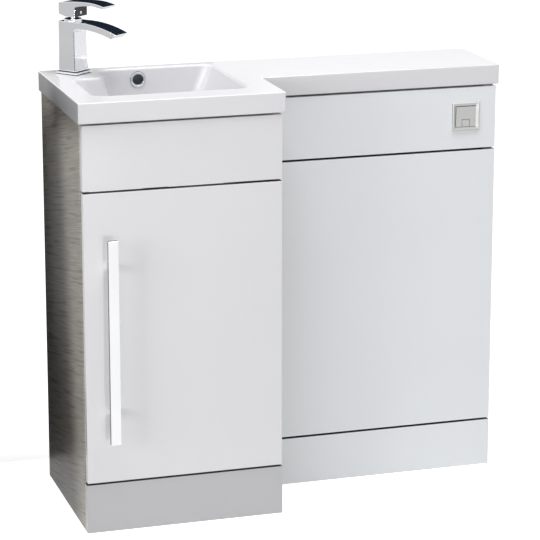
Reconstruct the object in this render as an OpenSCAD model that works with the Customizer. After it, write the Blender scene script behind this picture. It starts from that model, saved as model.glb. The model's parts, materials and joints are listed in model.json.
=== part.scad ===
// Toilet and basin combination unit: a deep basin cabinet on the left, a shallow
// toilet unit on the right, and one moulded L-shaped top with a bowl across both.
// X runs to the right, the wall is at +Y and the fronts face -Y, Z is up.
// The origin is on the floor, at the middle of the object's own box.

/* [Cabinets] */
// Width of the basin cabinet
basin_unit_w = 395; // [380:5:450]
// Width of the toilet unit
wc_unit_w = 500; // [480:5:600]
// Depth of the basin cabinet, from the wall to the door's face
basin_depth = 355; // [350:1:400]
// Depth of the toilet unit, from the wall to the face of its panels
wc_depth = 198; // [194:1:230]
// Height from the floor to the rim's top
total_h = 850; // [840:1:880]
// Thickness of every board
board_t = 18; // [16:0.5:19]
// Height of the plinth boards
plinth_h = 98; // [80:1:120]
// Height of the fixed upper fronts
upper_front_h = 126; // [110:1:132]
// Open line between neighbouring fronts
front_gap = 4; // [2:0.5:6]
// Open line between a front's edge and the outside of its cabinet
side_reveal = 1.5; // [1:0.25:2.5]
// Gap behind the closed door
door_reveal = 2; // [2:0.25:3]
// Height of the cross rails
rail_h = 90; // [70:1:100]
// Height of the shelf's underside above the floor
shelf_z = 350; // [250:5:400]
// Length of a shelf pin's dowel end
pin_len = 8; // [6:0.5:10]

/* [Door handle] */
// Length of the handle bar
handle_l = 402; // [300:2:450]
// Width of the handle bar
handle_w = 20; // [14:1:26]
// Thickness of the handle bar
handle_t = 10; // [8:0.5:12]
// Clear space between the door and the bar
handle_clear = 30; // [25:1:36]
// Height of the bar's middle above the door's bottom edge
handle_mid = 288; // [270:1:300]
// Distance from the door's free edge to the bar's centre line
handle_inset = 48; // [30:1:60]
// Distance between the two legs' centres
handle_centres = 288; // [224:2:288]

/* [Concealed hinges] */
// Distance from the door's end to a hinge's middle
hinge_from_end = 100; // [80:2:120]
// Diameter of a hinge cup
cup_d = 35; // [34:0.5:36]
// Depth of a hinge cup
cup_depth = 12.5; // [12:0.25:13]
// Diameter of a hinge pin
hinge_pin_d = 2.4; // [2:0.1:2.8]

/* [Top and bowl] */
// Height of the top's rim
rim_h = 40; // [36:1:46]
// How far the top stands out past the cabinets' sides
side_overhang = 5.5; // [1:0.5:8]
// How far the top stands out past the fronts
front_overhang = 2; // [1:0.5:6]
// Thickness of the deck
deck_t = 14; // [12:0.5:16]
// Radius of the top's upright corners
corner_r = 5; // [2:0.5:8]
// Depth of the bowl below the deck
bowl_depth = 115; // [100:1:120]
// Thickness of the bowl's wall
bowl_skin = 8; // [7:0.5:9]
// Ledge between the wall and the bowl
ledge_back = 23; // [22:0.5:30]
// Ledge between the bowl and the front edge
ledge_front = 62; // [50:1:70]
// Ledge between the left edge and the bowl
ledge_left = 46; // [40:1:55]
// Ledge between the bowl and the deep part's right edge
ledge_right = 55; // [50:1:70]
// Width of the tap's deck, from the left edge
tap_deck_w = 114; // [110:1:125]
// Depth of the tap's deck, from the wall
tap_deck_d = 106; // [100:1:115]
// How far the side walls lean in, per millimetre of depth
side_lean = 0.42; // [0.3:0.02:0.46]
// Height of the overflow channel
duct_h = 10; // [8:0.5:12]
// Outside diameter of the overflow ring
overflow_d = 32; // [28:0.5:34]
// Bore of the overflow ring
overflow_bore = 21; // [16:0.5:22]
// Depth of the overflow's centre below the deck
overflow_drop = 24; // [22:0.5:30]

/* [Waste and trap] */
// Distance from the wall to the waste
waste_from_wall = 150; // [140:1:160]
// Diameter of the threaded waste tube
waste_d = 41.8; // [40:0.2:43]
// Diameter of the waste's flange
waste_flange_d = 62; // [58:1:66]
// Travel of the pop-up plug
plug_travel = 8; // [5:0.5:10]
// Outside diameter of the waste pipe
pipe_d = 32; // [30:1:34]
// Height of the waste pipe's centre above the floor
pipe_z = 575; // [560:1:578]

/* [Tap] */
// Distance from the cabinet's left side to the tap
tap_from_left = 58; // [52:1:62]
// Distance from the wall to the tap
tap_from_wall = 43; // [41:0.5:50]
// Width of the square base plate
tap_base_w = 50.5; // [48:0.5:54]
// Height of the base plate
tap_base_h = 9; // [7:0.5:11]
// Width of the tap's column and spout
tap_w = 40.5; // [39:0.5:42]
// Width of the tap's column where it meets its base plate
tap_foot_w = 43.5; // [42.5:0.5:45]
// Length of the column along the spout
tap_column_l = 38; // [37:0.5:40]
// Height of the column's top above the deck
tap_column_h = 105.5; // [95:0.5:115]
// Reach of the spout from the column's middle
spout_reach = 119; // [110:0.5:125]
// Thickness of the spout
spout_t = 12.5; // [11:0.5:15]
// Reach of the lever blade from the column's middle
lever_reach = 90; // [80:0.5:100]
// Lift of the lever, in degrees
lever_lift = 22; // [15:1:22]

/* [Flush] */
// Width and height of the flush plate
plate_w = 58; // [56:0.5:64]
// How far the flush plate stands out
plate_t = 4; // [3:0.5:6]
// Width and height of the full-flush button
button_w = 42; // [40:0.5:43]
// Width of the half-flush button
half_w = 15; // [12:0.5:16]
// Height of the half-flush button
half_h = 14.5; // [12:0.5:15]
// Travel of both buttons
button_travel = 6; // [4:0.5:7]
// Distance from the unit's right side to the plate's centre
plate_from_right = 65; // [60:1:90]
// Height of the plate's centre above the upper panel's bottom edge
plate_up = 66.5; // [55:0.5:70]

/* [Cistern] */
// Width of the cistern
tank_w = 360; // [320:5:400]
// Depth of the cistern
tank_d = 135; // [120:1:140]
// Height of the cistern's body
tank_h = 330; // [300:5:340]
// Height of the cistern's floor above the ground
tank_z = 350; // [340:1:350]
// Thickness of the cistern's wall
tank_t = 4; // [3:0.25:5]
// Lift of the flush valve
flush_lift = 18; // [12:1:25]
// Travel of the float
float_travel = 40; // [30:1:50]
// Outside diameter of the flush pipe
flush_pipe_d = 40; // [36:1:42]

/* [Hidden] */
$fn = 48;

// Clearances: a running shaft, a still fastener in its hole, and two pieces side by side
run_fit = 0.06;
still_fit = 0.05;
seat_gap = 0.2;
eps = 0.5;

// Main lines across the object
unit_left = -(basin_unit_w + wc_unit_w) / 2;
joint_x = unit_left + basin_unit_w;
unit_right = joint_x + wc_unit_w;
wall_y = (basin_depth + handle_clear + handle_t) / 2;
door_face_y = wall_y - basin_depth;
door_back_y = door_face_y + board_t;
basin_edge_y = door_back_y + door_reveal;
fixed_face_y = basin_edge_y - board_t;
wc_face_y = wall_y - wc_depth;
wc_edge_y = wc_face_y + board_t;
carcass_h = total_h - rim_h;
upper_top = carcass_h - front_gap;
upper_bottom = upper_top - upper_front_h;
lower_top = upper_bottom - front_gap;
lower_bottom = plinth_h + front_gap;
base_z = lower_bottom - front_gap / 2;

// Door
door_x0 = unit_left + side_reveal;
door_x1 = joint_x - side_reveal;
handle_x = door_x0 + handle_inset;
handle_z = lower_bottom + handle_mid;
leg_w = handle_w * 0.6;
screw_r = 2;
hinge_zs = [lower_bottom + hinge_from_end, lower_top - hinge_from_end];

// Concealed hinge, measured from the closed door's rear edge on its hinge side
inner_u = -(board_t - side_reveal);
arm_side_t = 6;
arm_t = 9;
pin_r = hinge_pin_d / 2;
pivot_a = [inner_u - arm_side_t - arm_t / 2, -5.5];
pivot_b = [-11, -3.2];
crank_angle = 35;
crank_len = 6;
link_w = 5.2;
bar_w = link_w - 0.6;
boss_step = 0.25;
link_h = 8;
arm_h = 16;
cup_u = -5 - cup_d / 2;
pocket_left = -36;
pocket_right = -6.3;
pocket_depth = 11.5;

// Top
top_x0 = unit_left - side_overhang;
deep_x1 = joint_x + side_overhang;
top_x1 = unit_right + side_overhang;
deep_y0 = door_face_y - front_overhang;
shallow_y0 = wc_face_y - front_overhang;
rim_w = board_t + side_overhang + 1;
bowl_x0 = top_x0 + ledge_left;
bowl_x1 = deep_x1 - ledge_right;
bowl_y1 = wall_y - ledge_back;
bowl_y0 = deep_y0 + ledge_front;
step_x = top_x0 + tap_deck_w;
step_y = wall_y - tap_deck_d;
floor_z = total_h - bowl_depth;
duct_z = floor_z - bowl_skin - duct_h;
bowl_base_z = duct_z - 6;
waste_x = (bowl_x0 + bowl_x1) / 2;
waste_y = wall_y - waste_from_wall;
overflow_x = waste_x;
overflow_z = total_h - overflow_drop;
duct_w = 40;
duct_wall = 7;
duct_skin = 3;
hub_pad_r = 38;
tap_hole_r = 17;
duct_front = bowl_y1 + 6;
duct_back = wall_y - 8;
deck_under = total_h - deck_t;

// Waste and trap
waste_r = waste_d / 2;
waste_tail_z = pipe_z + 65;
plug_z = floor_z + 3.5;
pipe_r = pipe_d / 2;
trap_r = 30;
trap_top = pipe_z + 25;
cup_top = pipe_z - 22;
cup_floor_z = pipe_z - 100;

// Tap, turned so that its spout points over the bowl
tap_x = unit_left + tap_from_left;
tap_y = wall_y - tap_from_wall;
tap_turn = -50;
column_mid = -2;
column_back = column_mid - tap_column_l / 2;
column_front = column_mid + tap_column_l / 2;
spout_arc_s = 30;
spout_arc_r = 238;
spout_under_r = spout_arc_r - spout_t;
spout_tip_cut = 12;
cartridge_r = 16;
cartridge_h = 38;
collar_z = tap_column_h;
collar_h = 4;
lift_z = tap_column_h + 20;
block_z = tap_column_h + 9.5;
block_l = 40;
blade_peak_s = 48;
blade_peak_z = tap_column_h + 41.5;
spindle_r = 5;
lift_pin_r = 1.5;
lever_clear = 3.7;
room_w = 18;
outlet_s = spout_reach - 26;
outlet_r = 11;
outlet_wall = 2;
outlet_drop = 23;
way_r = 2.5;
way_start = tap_column_h - 2;

// Flush plate
plate_x = unit_right - plate_from_right;
plate_z = upper_bottom + plate_up;
button_gap = 0.4;
sleeve_w = button_w + 2 * button_gap + 2.4;
half_z = plate_z - button_w / 2 + half_h / 2;
button_face_y = wc_face_y - plate_t + 0.5;
button_t = 3;
guide_y0 = button_face_y + button_t + button_travel + 1;
guide_y1 = wc_edge_y + 10;
full_stem_z = plate_z + 7;
full_stem_r = 4;
half_stem_r = 3;

// Cistern
tank_x = joint_x + wc_unit_w / 2;
tank_back_y = wall_y - board_t;
tank_mid_y = tank_back_y - tank_d / 2;
tank_floor_z = tank_z + tank_t;
tank_top_z = tank_z + tank_h;
valve_r = 24;
core_r = 20;
fill_x = tank_x + tank_w / 2 - 50;
fill_r = 9;
float_z = tank_floor_z + 130;
flush_bend_r = 45;
flush_pipe_r = flush_pipe_d / 2;
spigot_z = tank_z - 40;
flush_turn_z = spigot_z - 35;

// ---------- shapes used by several pieces ----------

// A box between two corners
module slab(x0, x1, y0, y1, z0, z1) {
    translate([x0, y0, z0]) cube([x1 - x0, y1 - y0, z1 - z0]);
}

// A flat rectangle with round corners, centred
module round_rect(w, d, r) {
    square([w - 2 * r, d], center = true);
    square([w, d - 2 * r], center = true);
    for (i = [-1, 1], j = [-1, 1]) translate([i * (w / 2 - r), j * (d / 2 - r)]) circle(r);
}

// A ring about +Z
module ring(outer, inner, z0, z1) {
    difference() {
        translate([0, 0, z0]) cylinder(r = outer, h = z1 - z0);
        translate([0, 0, z0 - eps]) cylinder(r = inner, h = z1 - z0 + 2 * eps);
    }
}

// A straight bar between two points, with no ends
module link_bar(p, q) {
    d = q - p;
    translate([p[0], p[1], boss_step]) rotate([0, 0, atan2(d[1], d[0])])
        translate([0, -bar_w / 2, 0]) cube([norm(d), bar_w, link_h - 2 * boss_step]);
}

// Moves children to a hinge's own corner of the door
module at_hinges() {
    for (z = hinge_zs) translate([door_x1, door_back_y, z]) children();
}

// Moves children to the tap's foot, turned with the spout along +X
module at_tap() {
    translate([tap_x, tap_y, total_h]) rotate([0, 0, tap_turn]) children();
}

// Stands a side profile of the tap upright, as wide as w
module tap_profile(w) {
    translate([0, w / 2, 0]) rotate([90, 0, 0]) linear_extrude(w) children();
}

// A shaft along +Y
module shaft_y(x, y0, y1, z, r) {
    translate([x, y0, z]) rotate([-90, 0, 0]) cylinder(r = r, h = y1 - y0);
}

// A shaft along +X
module shaft_x(x0, x1, y, z, r) {
    translate([x0, y, z]) rotate([0, 90, 0]) cylinder(r = r, h = x1 - x0);
}

// ---------- basin cabinet ----------

shelf_pin_r = 2.5;
shelf_pin_ys = [wall_y - 60, basin_edge_y + 60];
bolt_zs = [carcass_h * 0.35, carcass_h * 0.78];
bolt_y = wall_y - board_t - 40;
bolt_r = 3;
bolt_head_r = 6;
bolt_head_t = 3;

module pin_holes(x0, x1) {
    for (y = shelf_pin_ys) shaft_x(x0, x1, y, shelf_z - shelf_pin_r, shelf_pin_r + still_fit);
}

module bolt_holes(x0, x1) {
    for (z = bolt_zs) shaft_x(x0, x1, bolt_y, z, bolt_r + still_fit);
}

module basin_side_left() {
    color([0.58, 0.57, 0.55]) difference() {
        slab(unit_left, unit_left + board_t, basin_edge_y, wall_y, 0, carcass_h);
        pin_holes(unit_left + board_t - pin_len - seat_gap, unit_left + board_t + eps);
    }
}

module basin_side_right() {
    color([0.58, 0.57, 0.55]) difference() {
        slab(joint_x - board_t, joint_x, basin_edge_y, wall_y, 0, carcass_h);
        pin_holes(joint_x - board_t - eps, joint_x - board_t + pin_len + seat_gap);
        bolt_holes(joint_x - board_t - eps, joint_x + eps);
    }
}

module basin_base() {
    color([0.85, 0.85, 0.84])
        slab(unit_left + board_t, joint_x - board_t, basin_edge_y, wall_y, base_z, base_z + board_t);
}

module basin_shelf() {
    color([0.85, 0.85, 0.84])
        slab(unit_left + board_t + 1, joint_x - board_t - 1, basin_edge_y + 25,
            wall_y - board_t - 2, shelf_z, shelf_z + board_t);
}

// Four dowel pins, half in the side boards and half under the shelf
module shelf_pins() {
    color([0.75, 0.75, 0.77]) for (y = shelf_pin_ys) {
        shaft_x(unit_left + board_t - pin_len, unit_left + board_t + pin_len, y,
            shelf_z - shelf_pin_r, shelf_pin_r);
        shaft_x(joint_x - board_t - pin_len, joint_x - board_t + pin_len, y,
            shelf_z - shelf_pin_r, shelf_pin_r);
    }
}

wall_screw_r = 3;
basin_rail_top_z = trap_top + 3;
basin_fix_z = basin_rail_top_z + rail_h * 0.6;
basin_fix_mid = (unit_left + joint_x) / 2;
basin_fix_span = basin_unit_w - 2 * board_t - 79;

module basin_back_rails() {
    color([0.85, 0.85, 0.84]) {
        difference() {
            slab(unit_left + board_t, joint_x - board_t, wall_y - board_t, wall_y,
                basin_rail_top_z, basin_rail_top_z + rail_h);
            for (i = [-1, 1])
                shaft_y(basin_fix_mid + i * basin_fix_span / 2, wall_y - board_t - eps,
                    wall_y + eps, basin_fix_z, wall_screw_r);
        }
        slab(unit_left + board_t, joint_x - board_t, wall_y - board_t, wall_y,
            base_z + board_t, base_z + board_t + rail_h);
    }
}

fascia_screw_xs = [unit_left + board_t + 50, joint_x - board_t - 50];
fascia_screw_z = (upper_bottom + upper_top) / 2;
fascia_bite = 10;

module basin_front_rail() {
    color([0.85, 0.85, 0.84]) difference() {
        slab(unit_left + board_t, joint_x - board_t, basin_edge_y, basin_edge_y + board_t,
            upper_bottom + 12, upper_top);
        for (x = fascia_screw_xs)
            shaft_y(x, basin_edge_y - eps, basin_edge_y + board_t + eps, fascia_screw_z,
                screw_r + still_fit);
    }
}

// The fixed front above the door, with blind holes for its screws
module basin_fascia() {
    color([0.87, 0.87, 0.86]) difference() {
        slab(door_x0, door_x1, fixed_face_y, basin_edge_y, upper_bottom, upper_top);
        for (x = fascia_screw_xs)
            shaft_y(x, basin_edge_y - fascia_bite - seat_gap, basin_edge_y + eps,
                fascia_screw_z, screw_r + still_fit);
    }
}

module basin_plinth() {
    color([0.80, 0.80, 0.80])
        slab(unit_left, joint_x, fixed_face_y, basin_edge_y, 0, plinth_h);
}

// Blocks glued into the corners between each plinth and the side boards
block_w = 30;

module plinth_blocks() {
    color([0.80, 0.76, 0.66]) {
        for (x = [unit_left + board_t, joint_x - board_t - block_w])
            slab(x, x + block_w, basin_edge_y, basin_edge_y + block_w, 4, plinth_h - 8);
        for (x = [joint_x + board_t, unit_right - board_t - block_w])
            slab(x, x + block_w, wc_edge_y, wc_edge_y + block_w, 4, plinth_h - 8);
    }
}

// A screw along -Y whose head sits on y1
module screw_y(x, y0, y1, z) {
    shaft_y(x, y0, y1, z, screw_r);
    shaft_y(x, y1, y1 + 2.4, z, screw_r * 2);
}

// The fixed front's screws, and the bolts that join the two cabinets
module cabinet_screws() {
    color([0.70, 0.70, 0.72]) {
        for (x = fascia_screw_xs)
            screw_y(x, basin_edge_y - fascia_bite, basin_edge_y + board_t, fascia_screw_z);
        for (z = bolt_zs) {
            shaft_x(joint_x - board_t, joint_x + board_t, bolt_y, z, bolt_r);
            shaft_x(joint_x - board_t - bolt_head_t, joint_x - board_t, bolt_y, z, bolt_head_r);
            shaft_x(joint_x + board_t, joint_x + board_t + bolt_head_t, bolt_y, z, bolt_head_r);
        }
    }
}

// ---------- door ----------

handle_leg_zs = [handle_z - handle_centres / 2, handle_z + handle_centres / 2];
handle_bite = 14;
screw_head_t = 2.4;

module door_panel() {
    color([0.87, 0.87, 0.86]) difference() {
        slab(door_x0, door_x1, door_face_y, door_back_y, lower_bottom, lower_top);
        at_hinges() translate([cup_u, -cup_depth - seat_gap, 0]) rotate([-90, 0, 0])
            cylinder(d = cup_d + 2 * still_fit, h = cup_depth + seat_gap + eps);
        for (z = handle_leg_zs) {
            shaft_y(handle_x, door_face_y - eps, door_back_y + eps, z, screw_r + still_fit);
            shaft_y(handle_x, door_back_y - screw_head_t, door_back_y + eps, z,
                screw_r * 2 + still_fit);
        }
    }
}

// A flat bar on two legs that are set in from its ends
module door_handle() {
    color([0.90, 0.90, 0.92]) difference() {
        union() {
            slab(handle_x - handle_w / 2, handle_x + handle_w / 2,
                door_face_y - handle_clear - handle_t, door_face_y - handle_clear,
                handle_z - handle_l / 2, handle_z + handle_l / 2);
            for (z = handle_leg_zs)
                slab(handle_x - leg_w / 2, handle_x + leg_w / 2, door_face_y - handle_clear - eps,
                    door_face_y, z - leg_w / 2, z + leg_w / 2);
        }
        for (z = handle_leg_zs)
            shaft_y(handle_x, door_face_y - handle_bite - seat_gap, door_face_y + eps, z,
                screw_r + still_fit);
    }
}

module handle_screws() {
    color([0.70, 0.70, 0.72]) for (z = handle_leg_zs) {
        shaft_y(handle_x, door_face_y - handle_bite, door_back_y - screw_head_t, z, screw_r);
        shaft_y(handle_x, door_back_y - screw_head_t, door_back_y, z, screw_r * 2);
    }
}

// Soft buffers on the door's back, where it meets the left side board
module door_buffers() {
    color([0.85, 0.86, 0.88]) for (z = [lower_bottom + 30, lower_top - 30])
        shaft_y(unit_left + board_t / 2, door_back_y, door_back_y + door_reveal - seat_gap, z, 4);
}

// Cups sunk in the door, each with a pocket for the arm and a pin across it
module hinge_cups() {
    color([0.80, 0.80, 0.82]) at_hinges() {
        difference() {
            union() {
                translate([cup_u, -cup_depth, 0]) rotate([-90, 0, 0])
                    cylinder(d = cup_d, h = cup_depth);
                for (i = [-1, 1])
                    slab(cup_u - 6, cup_u + 6, 0, 1.2, min(i * 14, i * 26), max(i * 14, i * 26));
            }
            slab(pocket_left, pivot_b[0] - 5, -pocket_depth, 2, -arm_h / 2 - 0.4, arm_h / 2 + 0.4);
            slab(pivot_b[0] - 5 - eps, pocket_right, -pocket_depth, 2,
                -link_h / 2 - 0.6, link_h / 2 + 0.6);
        }
        translate([pivot_b[0], pivot_b[1], -link_h / 2 - 1.1])
            cylinder(r = pin_r, h = link_h + 2.2);
    }
}

// The cranked link of each hinge, on a pin at either end
module hinge_links() {
    ab = pivot_a - pivot_b;
    crank_dir = atan2(ab[1], ab[0]) + crank_angle;
    elbow = pivot_b + crank_len * [cos(crank_dir), sin(crank_dir)];
    color([0.72, 0.72, 0.75]) at_hinges() translate([0, 0, -link_h / 2]) difference() {
        union() {
            link_bar(pivot_a, elbow);
            link_bar(elbow, pivot_b);
            for (p = [pivot_a, elbow, pivot_b]) translate([p[0], p[1], 0])
                cylinder(d = link_w, h = link_h);
        }
        for (p = [pivot_a, pivot_b]) translate([p[0], p[1], -eps])
            cylinder(r = pin_r + run_fit, h = link_h + 2 * eps);
    }
}

// The arms: a fork and pin at the front, and a long foot along the side board
module hinge_arms() {
    fork_r = 3.6;
    color([0.80, 0.80, 0.82]) at_hinges() {
        difference() {
            union() {
                translate([pivot_a[0], pivot_a[1], -arm_h / 2]) cylinder(r = fork_r, h = arm_h);
                slab(pivot_a[0] - arm_t / 2, pivot_a[0] + arm_t / 2, pivot_a[1],
                    door_reveal + 68, -arm_h / 2, arm_h / 2);
            }
            slab(pivot_a[0] - arm_t, pivot_a[0] + arm_t, pivot_a[1] - 6, door_reveal + 5,
                -link_h / 2 - 0.4, link_h / 2 + 0.4);
        }
        translate([pivot_a[0], pivot_a[1], -link_h / 2 - 1]) cylinder(r = pin_r, h = link_h + 2);
    }
}

// Mounting plates between the side board and each arm
module hinge_plates() {
    color([0.76, 0.76, 0.78]) at_hinges() {
        slab(inner_u - 3, inner_u, door_reveal + 28, door_reveal + 52, -25, 25);
        slab(inner_u - arm_side_t, inner_u - 2.9, door_reveal + 16, door_reveal + 66, -8, 8);
    }
}

// ---------- toilet unit ----------

module wc_side_left() {
    color([0.85, 0.85, 0.84]) difference() {
        slab(joint_x, joint_x + board_t, wc_edge_y, wall_y, 0, carcass_h);
        bolt_holes(joint_x - eps, joint_x + board_t + eps);
    }
}

module wc_side_right() {
    color([0.86, 0.87, 0.88])
        slab(unit_right - board_t, unit_right, wc_edge_y, wall_y, 0, carcass_h);
}

tank_screw_z = tank_top_z - 30;
tank_screw_xs = [tank_x - tank_w * 0.3, tank_x + tank_w * 0.3];
tank_screw_bite = 14;
wc_fix_span = wc_unit_w - 2 * board_t - 84;
wc_fix_z = carcass_h - rail_h * 0.45;

// Three rails along the wall: the top one takes the wall screws, the middle one the cistern
module wc_back_rails() {
    color([0.85, 0.85, 0.84]) difference() {
        for (z = [16, tank_screw_z - rail_h * 0.55, carcass_h - rail_h])
            slab(joint_x + board_t, unit_right - board_t, wall_y - board_t, wall_y, z, z + rail_h);
        for (i = [-1, 1])
            shaft_y(tank_x + i * wc_fix_span / 2, wall_y - board_t - eps, wall_y + eps,
                wc_fix_z, wall_screw_r);
        for (x = tank_screw_xs)
            shaft_y(x, wall_y - board_t - eps, wall_y - board_t + tank_screw_bite + seat_gap,
                tank_screw_z, screw_r + still_fit);
    }
}

// Rails behind the panels: above the flush plate, behind the middle gap, behind the plinth gap.
// They fill this share of the room in front of the cistern.
front_rail_share = 0.6;
front_rail_t = front_rail_share * (tank_back_y - tank_d - wc_edge_y);

module wc_front_rails() {
    color([0.85, 0.85, 0.84]) {
        slab(joint_x + board_t, unit_right - board_t, wc_edge_y, wc_edge_y + front_rail_t,
            plate_z + plate_w / 2 + 4, carcass_h);
        slab(joint_x + board_t, unit_right - board_t, wc_edge_y, wc_edge_y + front_rail_t,
            lower_top - 26, upper_bottom + 22);
        slab(joint_x + board_t + block_w + 2, unit_right - board_t - block_w - 2, wc_edge_y,
            wc_edge_y + front_rail_t, plinth_h - 18, lower_bottom + 20);
    }
}

wc_front_x0 = joint_x + side_reveal;

module wc_upper_panel() {
    color([0.86, 0.87, 0.89]) difference() {
        slab(wc_front_x0, unit_right, wc_face_y, wc_edge_y, upper_bottom, upper_top);
        translate([plate_x, wc_edge_y + eps, plate_z]) rotate([90, 0, 0])
            linear_extrude(board_t + 2 * eps)
                square(sleeve_w + 2 * still_fit, center = true);
    }
}

module wc_lower_panel() {
    color([0.86, 0.87, 0.89])
        slab(wc_front_x0, unit_right, wc_face_y, wc_edge_y, lower_bottom, lower_top);
}

module wc_plinth() {
    color([0.82, 0.83, 0.85])
        slab(joint_x, unit_right, wc_face_y, wc_edge_y, 0, plinth_h);
}

// ---------- moulded top ----------

// Plan of the L-shaped top, drawn in by 'inset' all round
module top_plan(inset) {
    r = max(corner_r - inset, 0.5);
    deep_w = deep_x1 - top_x0 - 2 * inset;
    deep_d = wall_y - deep_y0 - 2 * inset;
    long_w = top_x1 - top_x0 - 2 * inset;
    long_d = wall_y - shallow_y0 - 2 * inset;
    translate([(top_x0 + deep_x1) / 2, (wall_y + deep_y0) / 2]) round_rect(deep_w, deep_d, r);
    translate([(top_x0 + top_x1) / 2, (wall_y + shallow_y0) / 2]) round_rect(long_w, long_d, r);
}

// One level of the bowl: d below the deck, grown outwards by g
module bowl_level(x0, x1, y0, y1, d, g, r) {
    translate([(x0 + x1) / 2, (y0 + y1) / 2, total_h - d])
        linear_extrude(0.1) round_rect(x1 - x0 + 2 * g, y1 - y0 + 2 * g, r + g);
}

// The bowl's form as two hulls: behind the step, and the full width in front of it.
// 'over' lifts its top above the deck, or drops it below for the outer shell.
module bowl_form(g, over, bottom) {
    deep = bowl_depth + bottom;
    main_lean = 0.15;
    front_lean = 0.25;
    for (k = [0, 1]) hull() for (d = [-over, deep - 22, deep]) {
        drop = max(d, 0);
        near_floor = d == deep ? 14 : 0;
        x_in = k == 0 ? step_x + main_lean * drop : bowl_x0 + side_lean * drop;
        y_in = k == 0 ? bowl_y1 : step_y - front_lean * drop;
        bowl_level(x_in + near_floor, bowl_x1 - side_lean * drop - near_floor,
            bowl_y0 + front_lean * drop + near_floor, y_in - near_floor, d, g,
            d == deep ? 14 : 24, $fn = 32);
    }
}

// Space below the deck, inside the solid rim
module deck_hollow() {
    z0 = carcass_h - eps;
    hollow_h = deck_under - z0;
    translate([0, 0, z0]) linear_extrude(hollow_h) {
        translate([top_x0 + rim_w, deep_y0 + rim_w])
            square([deep_x1 - top_x0 - 2 * rim_w, wall_y - deep_y0 - rim_w - board_t]);
        translate([joint_x + board_t + 1, shallow_y0 + rim_w])
            square([top_x1 - rim_w - joint_x - board_t - 1, wall_y - shallow_y0 - rim_w - board_t]);
    }
}

// The overflow's channel: down behind the bowl, then forward under its floor
module duct(w, front, back, low, high, r, top) {
    slab(overflow_x - w / 2, overflow_x + w / 2, front, back, low, top);
    slab(overflow_x - w / 2, overflow_x + w / 2, waste_y, back, low, high);
    translate([waste_x, waste_y, low]) cylinder(r = r, h = high - low);
}

// The bowl's outer form below the deck, with the overflow's channel on it
module bowl_outside() {
    bowl_form(bowl_skin, -deck_t - 0.1, bowl_skin);
    duct(duct_w + 2 * duct_wall, bowl_y1 - bowl_skin, wall_y - duct_skin, bowl_base_z,
        floor_z - bowl_skin / 2, hub_pad_r, deck_under);
}

// What is open inside the top: the bowl, the overflow's channel and the holes
module bowl_inside() {
    bowl_form(0, 1, 0);
    duct(duct_w, duct_front, duct_back, duct_z, duct_z + duct_h, hub_pad_r - duct_wall - 1,
        overflow_z + overflow_d / 2);
    translate([waste_x, waste_y, bowl_base_z - eps])
        cylinder(r = waste_r + 1, h = floor_z - bowl_base_z + 2 * eps);
    shaft_y(overflow_x, bowl_y1 - eps, duct_front + eps, overflow_z, overflow_d / 2 - 3);
}

// The L-shaped deck and rim. The bowl under it is moulded in one with it.
module basin_top() {
    color([0.95, 0.95, 0.95]) difference() {
        translate([0, 0, carcass_h]) linear_extrude(rim_h) top_plan(0);
        deck_hollow();
        bowl_outside();
        bowl_inside();
        translate([tap_x, tap_y, deck_under - eps]) cylinder(r = tap_hole_r, h = deck_t + 2 * eps);
    }
}

module basin_bowl() {
    color([0.95, 0.95, 0.95]) difference() {
        bowl_outside();
        bowl_inside();
    }
}

// A flanged ring in the bowl's back wall
module overflow_ring() {
    outer = overflow_d / 2;
    bore = overflow_bore / 2;
    color([0.85, 0.86, 0.88]) translate([overflow_x, bowl_y1, overflow_z]) rotate([-90, 0, 0]) {
        ring(outer, bore, -2.5, 0);
        ring(outer - 3 - still_fit, bore, -1, 5.5);
    }
}

// ---------- waste and trap ----------

// Flange in the bowl, threaded tube with overflow slots, and a hub that guides the plug
hub_r = 7;
stem_r = 4;
hub_z = waste_tail_z + 45;
// What the hub still holds of the raised plug's stem
stem_held = 2;

module waste_body() {
    inner = waste_r - 4;
    color([0.86, 0.87, 0.89]) translate([waste_x, waste_y, 0]) {
        difference() {
            union() {
                translate([0, 0, floor_z]) cylinder(d = waste_flange_d, h = 2.5);
                translate([0, 0, waste_tail_z])
                    cylinder(r = waste_r, h = floor_z - waste_tail_z + 1);
            }
            translate([0, 0, waste_tail_z - eps])
                cylinder(r = inner, h = floor_z - waste_tail_z + 5);
            for (a = [0, 90]) rotate([0, 0, a])
                translate([-waste_d, -6, duct_z + 1]) cube([waste_d * 2, 12, duct_h - 2]);
        }
        difference() {
            for (a = [45, 135]) rotate([0, 0, a])
                translate([-inner - 1, -1.5, hub_z]) cube([2 * inner + 2, 3, 8]);
            translate([0, 0, hub_z - eps]) cylinder(r = stem_r + run_fit, h = 12);
        }
        ring(hub_r, stem_r + run_fit, hub_z, hub_z + 8);
    }
}

module waste_seal() {
    color([0.15, 0.15, 0.15]) translate([waste_x, waste_y, 0])
        ring(waste_r + 10, waste_r + still_fit, bowl_base_z - 4, bowl_base_z);
}

module waste_nut() {
    color([0.80, 0.70, 0.45]) translate([waste_x, waste_y, bowl_base_z - 13]) difference() {
        cylinder(r = waste_r + 10, h = 9, $fn = 6);
        translate([0, 0, -eps]) cylinder(r = waste_r + still_fit, h = 9 + 2 * eps);
    }
}

// The pop-up plug: a domed cap on a stem that slides in the hub
module waste_plug() {
    cap_r = waste_flange_d / 2 - 3;
    dome_r = 120;
    dome_h = 2.2;
    color([0.88, 0.89, 0.91]) translate([waste_x, waste_y, 0]) {
        translate([0, 0, plug_z]) cylinder(r = cap_r, h = 2.5);
        translate([0, 0, plug_z + 2.5]) rotate_extrude() intersection() {
            translate([0, dome_h - dome_r]) circle(dome_r, $fn = 360);
            square([cap_r - 0.6, dome_h + 1]);
        }
        translate([0, 0, hub_z + stem_held - plug_travel])
            cylinder(r = stem_r, h = plug_z - hub_z - stem_held + plug_travel + 1);
    }
}

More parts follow.
